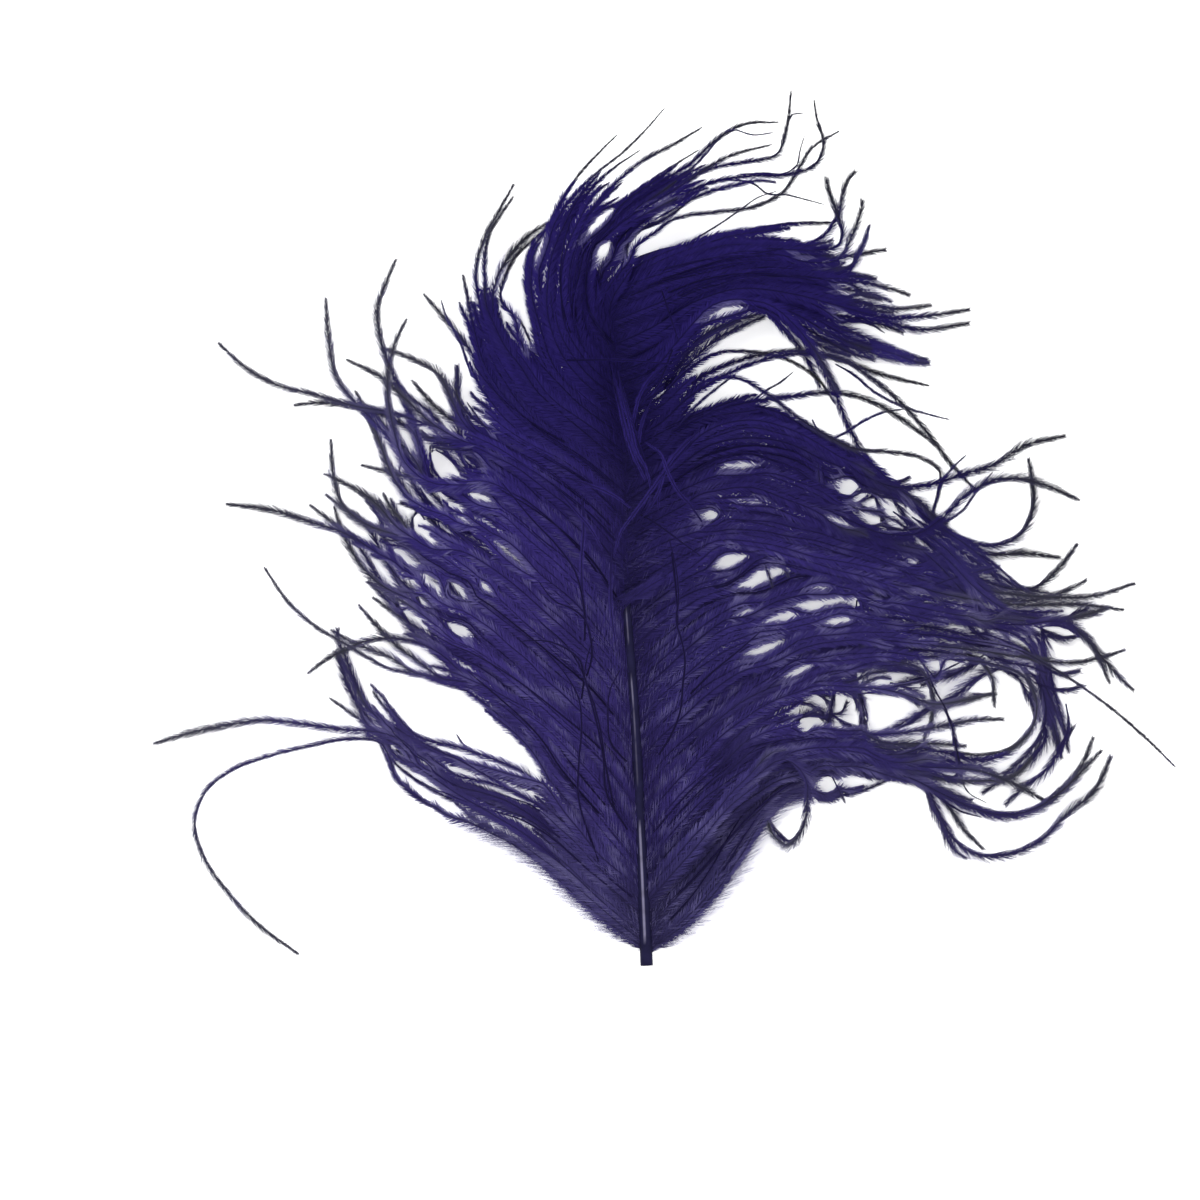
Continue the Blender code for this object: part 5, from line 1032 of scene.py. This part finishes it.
def fillers(first, second, style, chance):
    """The barbs between two neighbouring lanes, which fill the vane there."""
    count = min(len(first.path), len(second.path))
    gap = np.linalg.norm(first.path[:count, :2] - second.path[:count, :2], axis=1)
    distance = np.arange(count) * PATH_STEP
    far = np.nonzero((gap > style.widest) & (distance > FILL_ENDS_FROM))[0]
    limit = distance[far[0]] if len(far) else distance[-1]
    free_at = 0.5 * (first.free_at + second.free_at)
    typical = (distance > FILL_FROM) & (distance < min(limit, free_at))
    number = max(1, int(round(np.percentile(gap[typical], FILL_APART) / FILL_SPACING)))
    barbs = []
    for share in (np.arange(number) + 0.5) / number:
        end = min(FILL_MOST * limit, free_at * second.lock.fill * chance.uniform(*style.fills))
        keep = max(LEAST_PLACES, int(end * chance.uniform(*FILL_RANGE) / PATH_STEP))
        path = first.path[:keep] * (1 - share) + second.path[:keep] * share
        path[:, :2] += side_of(path[:, :2]) * sway(distances(path), chance)[:, None]
        path[:, 2] += layer(distances(path), chance)
        barb = barb_along(parted(path), free_at, style, chance)
        barbs.append(barb._replace(free=np.minimum(barb.free, LOW_GREY)))
    return barbs


def stray(lane, chance):
    """A thin dark barb that left its row and lies over the others, inside the vane."""
    first = int(lane.free_at * chance.uniform(*STRAY_STARTS) / PATH_STEP)
    last = int(lane.free_at * chance.uniform(*STRAY_ENDS) / PATH_STEP)
    path = lane.path[first:max(last, first + STRAY_PLACES)].copy()
    share = np.linspace(0.0, 1.0, len(path))
    drift = STRAY_DRIFT * chance.uniform(-1.0, 1.0) * share**DRIFT_CURVE
    path[:, :2] += side_of(path[:, :2]) * (drift + chance.uniform(-1.0, 1.0))[:, None]
    path[:, 2] += LAYER_SPREAD * (STRAY_LIFT[0] + STRAY_LIFT[1] * share)
    reach = STRAY_REACH * ease(STRAY_TAPER * share) * ease(STRAY_TAPER * (1 - share) + STRAY_END)
    even = np.ones(len(path))
    tone = chance.uniform(*STRAY_TONES)
    return Barb(parted(path), reach, reach, VANE_PITCH * even, LEAN * even, 0 * even, tone, 0.0)


def lane_barbs(lane, style, chance):
    """The longest barb of a lock, with its two companions, but none on the edge of the vane."""
    lock = lane.lock
    own = style
    if lock.hair:
        own = style._replace(strand=lock.hair, tip=0.5 * lock.hair, grey=HAIR_GREY)
    path = parted_inside(lane)
    barbs = [barb_along(path, lane.free_at, own, chance, LONG_TAPER, lock.rim, lock.fringe)]
    for aside, edge in ((style.beside, lock.rim), (-style.beside, lock.fringe)):
        if not edge:
            barbs.append(companion(lane, aside, style, chance))
    return barbs


def group_barbs(before, locks, style, chance):
    """All barbs of a group of locks, and those that fill the vane up to the lock before them."""
    lanes = [lane_of(lock) for lock in locks]
    barbs = []
    for lane in lanes:
        barbs.extend(lane_barbs(lane, style, chance))
    row = [lane_of(before), *lanes] if before else lanes
    for first, second in zip(row, row[1:]):
        if abs(first.lock.root - second.lock.root) < NEIGHBOURS:
            barbs.extend(fillers(first, second, style, chance))
    for _ in range(STRAYS):
        number = chance.integers(STRAY_LANES[0], len(lanes) - STRAY_LANES[1])
        barbs.append(stray(lanes[number], chance))
    return barbs


def loose_barb(strand, chance):
    """A single barb that strays over the others and past the vane's edge."""
    plan = smooth_line(points_of(strand.route), PATH_STEP)
    distance = arc_lengths(plan)
    share = distance / distance[-1]
    level = strand.start + (strand.end - strand.start) * share
    path = np.column_stack([plan, level + strand.rise * np.sin(math.pi * share)])
    reach = strand.reach * (1 - LOOSE_THINS * ease(2 * share - 1))
    reach *= ease(END_REACH + (distance[-1] - distance) / END_LENGTH)
    reach *= ease(LOOSE_ROOT + distance / LOOSE_LENGTH)
    even = np.ones(len(distance))
    slate = strand.slate * share
    tone = chance.uniform(*LOOSE_TONES) if strand.slate else LIGHT_TONE
    if strand.reach < THIN_REACH:
        tone = DARK_TONE
    return Barb(path, reach, reach, FREE_PITCH * even, FREE_LEAN * even, slate, tone, 0.0)


# ---- Meshes --------------------------------------------------------------------------------------
#
# Every mesh is made of triangles.  Besides its corners it carries, for each corner, how slate it
# is (on the shaft, how much painted highlight it has), its shade, how pale it is, and its place
# on the map that the material can be baked to.

Skin = namedtuple("Skin", "corners triangles slate shade pale map")


def axes(path):
    """The directions ahead, to the left and up at each place of a path."""
    ahead = np.gradient(path, axis=0)
    ahead /= np.linalg.norm(ahead, axis=1)[:, None]
    left = np.column_stack([-ahead[:, 1], ahead[:, 0], np.zeros(len(path))])
    left /= np.linalg.norm(left, axis=1)[:, None]
    return ahead, left, np.cross(ahead, left)


def rings_round(path, radius, turns):
    """The corners of the rings round a path, with corners at these angles from its left."""
    _, left, up = axes(path)
    outward = (np.cos(turns)[None, :, None] * left[:, None]
               + np.sin(turns)[None, :, None] * up[:, None])
    return (path[:, None] + radius[:, None, None] * outward).reshape(-1, 3)


def stem(barb):
    """The barb's own thin stem: a tapered tube with three sides."""
    distance = distances(barb.path)
    count = max(2, int(distance[-1] / STEM_STEP) + 1)
    at = np.linspace(0.0, distance[-1], count)
    share = at / at[-1]
    radius = STEM_ROOT_RADIUS + (STEM_TIP_RADIUS - STEM_ROOT_RADIUS) * share
    turns = np.radians([90.0, 210.0, 330.0])
    corners = rings_round(rows_at(barb.path, distance, at), radius, turns)
    first = (3 * np.arange(count - 1))[:, None] + np.arange(3)[None]
    following = (3 * np.arange(count - 1))[:, None] + np.array([1, 2, 0])[None]
    triangles = np.concatenate([
        np.stack([first, following, following + 3], axis=2).reshape(-1, 3),
        np.stack([first, following + 3, first + 3], axis=2).reshape(-1, 3)])
    slate = np.repeat(np.interp(at, distance, barb.free), 3)
    shade = np.full(len(corners), STEM_SHADE * barb.tone)
    flat = np.column_stack([np.repeat(share, 3), np.tile(STEM_ACROSS, count)])
    return Skin(corners, triangles, slate, shade, 0 * shade, flat)


def barbule_reaches(at, usual, fringed, chance):
    """How far each barbule reaches: in tufts, and some further than others."""
    tufty = np.where(fringed, FRINGE_TUFTS, TUFTS)
    turns = at * 2 * math.pi / chance.uniform(*TUFT_LENGTHS) + chance.uniform(*TUFT_STARTS)
    tufts = 1 + tufty * np.sin(turns)
    least, most = REACH_RANGE
    shortest = np.where(fringed, FRINGE_LEAST, least)
    spread = chance.uniform(0.0, 1.0, len(at)) ** np.where(fringed, FRINGE_CURVE, 1.0)
    return usual * tufts * (shortest + (most - shortest) * spread)


def barbule_shades(barb, at, chance):
    """The shades of the three corners of each barbule."""
    shade = barb.tone * chance.uniform(*BARBULE_RANGE, (len(at), 1)) * np.array(BARBULE_SHADES)
    return shade * (ROOT_SHADE + (1 - ROOT_SHADE) * rising(at, *ROOT_SHADE_SPAN))[:, None]


def barbule_row(barb, sign, streak, chance):
    """The barbules on one side of a barb, one triangle each; the sign is 1 on the left."""
    distance = distances(barb.path)
    crowd = np.concatenate([[0.0], np.cumsum(PATH_STEP / barb.pitch[1:])])
    count = int(crowd[-1]) - 1
    at = np.interp(1.0 + np.arange(count) + chance.uniform(0.0, 1.0, count), crowd, distance)
    forward, left, upward = (rows_at(rows, distance, at) for rows in axes(barb.path))
    aside = sign * left
    base = rows_at(barb.path, distance, at) - 0.5 * STEM_TIP_RADIUS * upward
    usual = np.interp(at, distance, barb.left if sign > 0 else barb.right)
    fringed = usual > FRINGE_FROM
    reach = barbule_reaches(at, usual, fringed, chance)
    usual_lean = np.interp(at, distance, barb.lean)
    lean_off = chance.normal(0.0, LEAN_VARIES, count).clip(-LEAN_MOST, LEAN_MOST)
    lean = np.radians(usual_lean + lean_off)
    droop = np.radians(np.clip(DROOP + chance.normal(0.0, DROOP_VARIES, count), *DROOP_MOST))
    cover = COVER + (FREE_COVER - COVER) * (LEAN - usual_lean) / (LEAN - FREE_LEAN)
    width = cover * np.interp(at, distance, barb.pitch) * np.minimum(1.0, THINNER_FROM / usual)
    half = forward * (width / 2)[:, None]
    tip = (base + forward * (reach / np.tan(lean))[:, None]
           + aside * (reach * np.cos(droop))[:, None] + upward * (reach * np.sin(droop))[:, None])
    slate = np.repeat(np.interp(at, distance, barb.free)[:, None], 3, axis=1)
    shade = barbule_shades(barb, at, chance)
    pale = fringed[:, None] * np.array(FRINGE_PALE)
    streaks = barb.streaks * ease(2 * np.sin(2 * math.pi * at / streak[0] + streak[1]) - 1)
    pale[:, 2] = np.maximum.reduce([pale[:, 2], streaks, GAP_PALE * in_a_gap(tip)])
    along = (at / distance[-1])[:, None] + np.array(BARBULE_ALONG)
    across = 0.5 + sign * np.array(BARBULE_ACROSS) + 0 * along
    flat = np.stack([np.clip(along, 0, 1), across], axis=2)
    order = [0, 1, 2] if sign > 0 else [2, 1, 0]
    corners = np.stack([base - half, base + half, tip], axis=1)
    return Skin(corners[:, order].reshape(-1, 3), np.arange(3 * count).reshape(-1, 3),
                slate.ravel(), shade[:, order].ravel(), pale[:, order].ravel(),
                flat[:, order].reshape(-1, 2))


def barb_skins(barb, chance):
    """A barb's stem and its two rows of barbules."""
    streak = chance.uniform(*STREAK_LENGTHS), chance.uniform(0.0, 2 * math.pi)
    return [stem(barb), *(barbule_row(barb, sign, streak, chance) for sign in (1.0, -1.0))]


def in_band(skin, number, count):
    """The skin, with its map squeezed into one of the bands of its piece's map."""
    u, v = skin.map.T
    return skin._replace(map=np.column_stack([u, (number + v) / count]))


def one_mesh(name, skins, material):
    """One mesh object out of many skins."""
    starts = np.cumsum([0] + [len(skin.corners) for skin in skins])
    corners = np.concatenate([skin.corners for skin in skins])
    corners[:, 2] = np.maximum(corners[:, 2], LEAST_HEIGHT)
    corners[:, :2] -= PLAN_CENTRE
    triangles = np.concatenate([skin.triangles + start for skin, start in zip(skins, starts)])
    loops = triangles.ravel()
    mesh = bpy.data.meshes.new(name)
    mesh.vertices.add(len(corners))
    mesh.vertices.foreach_set("co", (corners * MM).ravel())
    mesh.loops.add(len(loops))
    mesh.loops.foreach_set("vertex_index", loops)
    mesh.polygons.add(len(triangles))
    mesh.polygons.foreach_set("loop_start", np.arange(0, len(loops), 3))
    mesh.update(calc_edges=True)
    for attribute in ("slate", "shade", "pale"):
        values = np.concatenate([getattr(skin, attribute) for skin in skins])
        mesh.attributes.new(attribute, "FLOAT", "POINT").data.foreach_set("value", values)
    flat = np.concatenate([skin.map for skin in skins])[loops]
    mesh.uv_layers.new(name="OFBake").data.foreach_set("uv", flat.ravel())
    mesh.materials.append(material)
    piece = bpy.data.objects.new(name, mesh)
    bpy.context.scene.collection.objects.link(piece)
    return piece


def barb_piece(name, barbs, material, chance):
    """The mesh of a group of barbs, stems and barbules together."""
    skins = []
    for number, barb in enumerate(barbs):
        for skin in barb_skins(barb, chance):
            skins.append(in_band(skin, number, len(barbs)))
    return one_mesh(name, skins, material)


# ---- The shaft -----------------------------------------------------------------------------------


def tube_triangles(sides, count):
    """The triangles of a tube of rings, and of its two ends round the last two corners."""
    here = np.arange(sides)
    beside = (here + 1) % sides
    faces = []
    for ring in range(count - 1):
        a, b = ring * sides, (ring + 1) * sides
        faces.append(np.column_stack([a + here, a + beside, b + beside]))
        faces.append(np.column_stack([a + here, b + beside, b + here]))
    faces.append(np.column_stack([beside, here, np.full(sides, count * sides)]))
    last = (count - 1) * sides
    faces.append(np.column_stack([last + here, last + beside, np.full(sides, count * sides + 1)]))
    return np.concatenate(faces)


def painted_highlight_line(at, turns):
    """How much painted highlight the shaft's corners get: 1 in the middle of the stretches of its pale
    line.
    """
    half = HIGHLIGHT_HALF[0] + (HIGHLIGHT_HALF[1] - HIGHLIGHT_HALF[0]) * rising(at, *HIGHLIGHT_NARROWS)
    top = (1 - ease(np.abs(turns - HIGHLIGHT_TURN) / half[:, None] - HIGHLIGHT_SOFT)).ravel()
    shown = sum(level * rising(at, start, HIGHLIGHT_FADE) * (1 - rising(at, end - HIGHLIGHT_FADE, HIGHLIGHT_FADE))
                for start, end, level in HIGHLIGHT_STRETCHES)
    return top * np.repeat(shown, len(turns))


def shaft_piece(material):
    """The shaft: a tapered tube with its cut face."""
    line = smooth_line(SHAFT_POINTS, SHAFT_STEP)
    at = np.minimum(arc_lengths(line), SHAFT_LENGTH)
    path = np.column_stack([line, shaft_height(at)])
    turns = 2 * math.pi * np.arange(SHAFT_SIDES) / SHAFT_SIDES
    corners = np.concatenate([rings_round(path, shaft_radius(at), turns), path[:1], path[-1:]])
    # On the shaft this attribute holds the painted highlight, the pale line along its top, not slate.
    slate = np.concatenate([painted_highlight_line(at, turns), [0.0, 0.0]])
    shade = np.ones(len(corners))
    around = np.tile(np.abs(turns / math.pi - 1), len(path))
    flat = np.column_stack([np.repeat(at / at[-1], SHAFT_SIDES), around])
    flat = np.vstack([flat, [0.0, 0.0], [1.0, 0.0]])
    triangles = tube_triangles(SHAFT_SIDES, len(path))
    return one_mesh("shaft", [Skin(corners, triangles, slate, shade, 0 * shade, flat)], material)


# ---- Materials -----------------------------------------------------------------------------------


def new_material(name, roughness):
    """A material with a Principled shader, its node tree and that shader."""
    material = bpy.data.materials.new(name)
    material.use_nodes = True
    tree = material.node_tree
    shader = tree.nodes["Principled BSDF"]
    shader.inputs["Roughness"].default_value = roughness
    shader.inputs["Specular IOR Level"].default_value = SPECULAR
    return material, tree, shader


def attribute(tree, name):
    """The value of a mesh attribute."""
    node = tree.nodes.new("ShaderNodeAttribute")
    node.attribute_name = name
    return node.outputs["Fac"]


def mixed(tree, share, first, second):
    """The mix of two colours, or of a colour and a socket."""
    node = tree.nodes.new("ShaderNodeMix")
    node.data_type = "RGBA"
    tree.links.new(share, node.inputs["Factor"])
    for socket, value in ((node.inputs["A"], first), (node.inputs["B"], second)):
        if isinstance(value, tuple):
            socket.default_value = value
        else:
            tree.links.new(value, socket)
    return node.outputs["Result"]


def scaled(tree, colour, factor):
    """A colour made darker or lighter by a factor."""
    node = tree.nodes.new("ShaderNodeVectorMath")
    node.operation = "SCALE"
    tree.links.new(colour, node.inputs[0])
    tree.links.new(factor, node.inputs["Scale"])
    return node.outputs["Vector"]


def noise(tree, scale, detail):
    """Soft noise in the object's own space."""
    place = tree.nodes.new("ShaderNodeTexCoord")
    node = tree.nodes.new("ShaderNodeTexNoise")
    node.inputs["Scale"].default_value = scale
    node.inputs["Detail"].default_value = detail
    tree.links.new(place.outputs["Object"], node.inputs["Vector"])
    return node.outputs["Fac"]


def stretched(tree, value, low, high):
    """A value from 0 to 1, stretched to run from low to high."""
    node = tree.nodes.new("ShaderNodeMapRange")
    node.inputs["To Min"].default_value = low
    node.inputs["To Max"].default_value = high
    tree.links.new(value, node.inputs["Value"])
    return node.outputs["Result"]


def towards_tip(tree):
    """0 in the lower half of the feather, 1 near its tip."""
    place = tree.nodes.new("ShaderNodeTexCoord")
    parts = tree.nodes.new("ShaderNodeSeparateXYZ")
    tree.links.new(place.outputs["Object"], parts.inputs["Vector"])
    node = tree.nodes.new("ShaderNodeMapRange")
    node.inputs["From Min"].default_value = DEEP_FROM
    node.inputs["From Max"].default_value = DEEP_TO
    tree.links.new(parts.outputs["Y"], node.inputs["Value"])
    return node.outputs["Result"]


def dyed_barbs():
    """The dye of barbs and barbules: violet in patches of two hues, greyer towards free ends."""
    material, tree, shader = new_material("dyed_barbs", BARB_ROUGHNESS)
    patches = stretched(tree, noise(tree, *DYE_PATCHES), 0.0, 1.0)
    dye = mixed(tree, patches, VIOLET, BLUE_VIOLET)
    dye = mixed(tree, towards_tip(tree), dye, DEEP_VIOLET)
    dye = mixed(tree, attribute(tree, "slate"), dye, SLATE)
    dye = scaled(tree, dye, attribute(tree, "shade"))
    dye = mixed(tree, attribute(tree, "pale"), dye, LILAC)
    tree.links.new(dye, shader.inputs["Base Color"])
    grain = stretched(tree, noise(tree, *BARB_GRAIN), *GRAIN_ROUGHNESS)
    tree.links.new(grain, shader.inputs["Roughness"])
    return material


def dyed_quill():
    """The shaft: dark dye all round, and a painted highlight, a pale line along its top."""
    material, tree, shader = new_material("dyed_quill", QUILL_ROUGHNESS)
    streaks = stretched(tree, noise(tree, *QUILL_GRAIN), *QUILL_STREAKS)
    # the painted highlight mixes the dark dye towards a pale grey-lilac along the top
    skin = mixed(tree, attribute(tree, "slate"), QUILL_DARK, QUILL_HIGHLIGHT)
    tree.links.new(scaled(tree, skin, streaks), shader.inputs["Base Color"])
    return material


def table_top():
    """Plain white paper on a light table, which keeps shadows faint."""
    material, tree, shader = new_material("table_top", PAPER_ROUGHNESS)
    shader.inputs["Emission Color"].default_value = WHITE
    shader.inputs["Emission Strength"].default_value = TABLE_GLOW
    material.cycles.emission_sampling = "NONE"
    fibre = stretched(tree, noise(tree, *PAPER_GRAIN), *PAPER_WHITES)
    white = tree.nodes.new("ShaderNodeCombineColor")
    for name in ("Red", "Green", "Blue"):
        tree.links.new(fibre, white.inputs[name])
    tree.links.new(white.outputs["Color"], shader.inputs["Base Color"])
    return material


# ---- Table, light and camera ---------------------------------------------------------------------


def make_table():
    """The plain pale table under the feather."""
    half = TABLE_SIZE / 2
    mesh = bpy.data.meshes.new("table")
    mesh.from_pydata([(-half, -half, 0), (half, -half, 0), (half, half, 0), (-half, half, 0)], [],
                     [(0, 1, 2, 3)])
    mesh.materials.append(table_top())
    table = bpy.data.objects.new("table", mesh)
    bpy.context.scene.collection.objects.link(table)


def make_lamp(name, place, size, energy):
    """A soft square lamp that looks at the feather and that the camera doesn't see."""
    data = bpy.data.lights.new(name, "AREA")
    data.size = size
    data.energy = energy
    lamp = bpy.data.objects.new(name, data)
    lamp.location = place
    tilt = math.atan2(math.hypot(place[0], place[1]), place[2])
    lamp.rotation_euler = (0.0, tilt, math.atan2(place[1], place[0]))
    lamp.visible_camera = False
    bpy.context.scene.collection.objects.link(lamp)


def make_light():
    """An even white sky with two large soft lamps."""
    world = bpy.data.worlds.new("studio")
    world.use_nodes = True
    sky = world.node_tree.nodes["Background"]
    sky.inputs["Color"].default_value = WHITE
    sky.inputs["Strength"].default_value = SKY
    bpy.context.scene.world = world
    make_lamp("key", KEY_PLACE, KEY_SIZE, KEY_ENERGY)
    make_lamp("fill", FILL_PLACE, FILL_SIZE, FILL_ENERGY)


def make_camera():
    """The photograph's view: straight down, from far enough to be nearly flat."""
    data = bpy.data.cameras.new("camera")
    data.sensor_width = SENSOR
    data.sensor_fit = "HORIZONTAL"
    data.lens = SENSOR * (CAMERA_DISTANCE - VIEW_HEIGHT) / VIEW_WIDTH
    data.clip_end = FAR_CLIP
    camera = bpy.data.objects.new("camera", data)
    camera.location = (*VIEW_CENTRE, CAMERA_DISTANCE)
    bpy.context.scene.collection.objects.link(camera)
    bpy.context.scene.camera = camera
    bpy.context.scene.view_settings.view_transform = "Standard"


# ---- The scene -----------------------------------------------------------------------------------


def dress(piece):
    """Ties a piece to the part: it rides on the body and stands for the solid."""
    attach(piece, "root")
    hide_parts("feather")


def make_feather():
    """All pieces of the feather."""
    chance = np.random.default_rng(SEED)
    barb_material = dyed_barbs()
    dress(shaft_piece(dyed_quill()))
    half = len(LEFT) // 2 + 1
    middle = len(RIGHT) // 2
    groups = (("barbs_left_lower", None, LEFT[:half], LEFT_SIDE),
              ("barbs_left_upper", LEFT[half - 1], LEFT[half:], LEFT_SIDE),
              ("barbs_crest", LEFT[-1], CREST, FINE),
              ("barbs_curl", None, CURL, BUNDLED),
              ("barbs_right_upper", CURL[-1], RIGHT[:middle], RIGHT_SIDE),
              ("barbs_right_lower", RIGHT[middle - 1], RIGHT[middle:], RIGHT_SIDE))
    for name, before, locks, style in groups:
        barbs = group_barbs(before, locks, style, chance)
        dress(barb_piece(name, barbs, barb_material, chance))
    barbs = [loose_barb(strand, chance) for strand in LOOSE]
    dress(barb_piece("barbs_loose", barbs, barb_material, chance))


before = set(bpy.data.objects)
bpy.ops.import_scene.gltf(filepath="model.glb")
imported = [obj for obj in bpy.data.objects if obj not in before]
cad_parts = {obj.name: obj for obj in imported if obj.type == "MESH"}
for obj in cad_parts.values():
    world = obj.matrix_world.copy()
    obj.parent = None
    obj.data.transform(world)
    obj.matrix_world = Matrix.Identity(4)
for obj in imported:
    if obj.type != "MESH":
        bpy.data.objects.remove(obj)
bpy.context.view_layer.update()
make_feather()
make_table()
make_light()
make_camera()
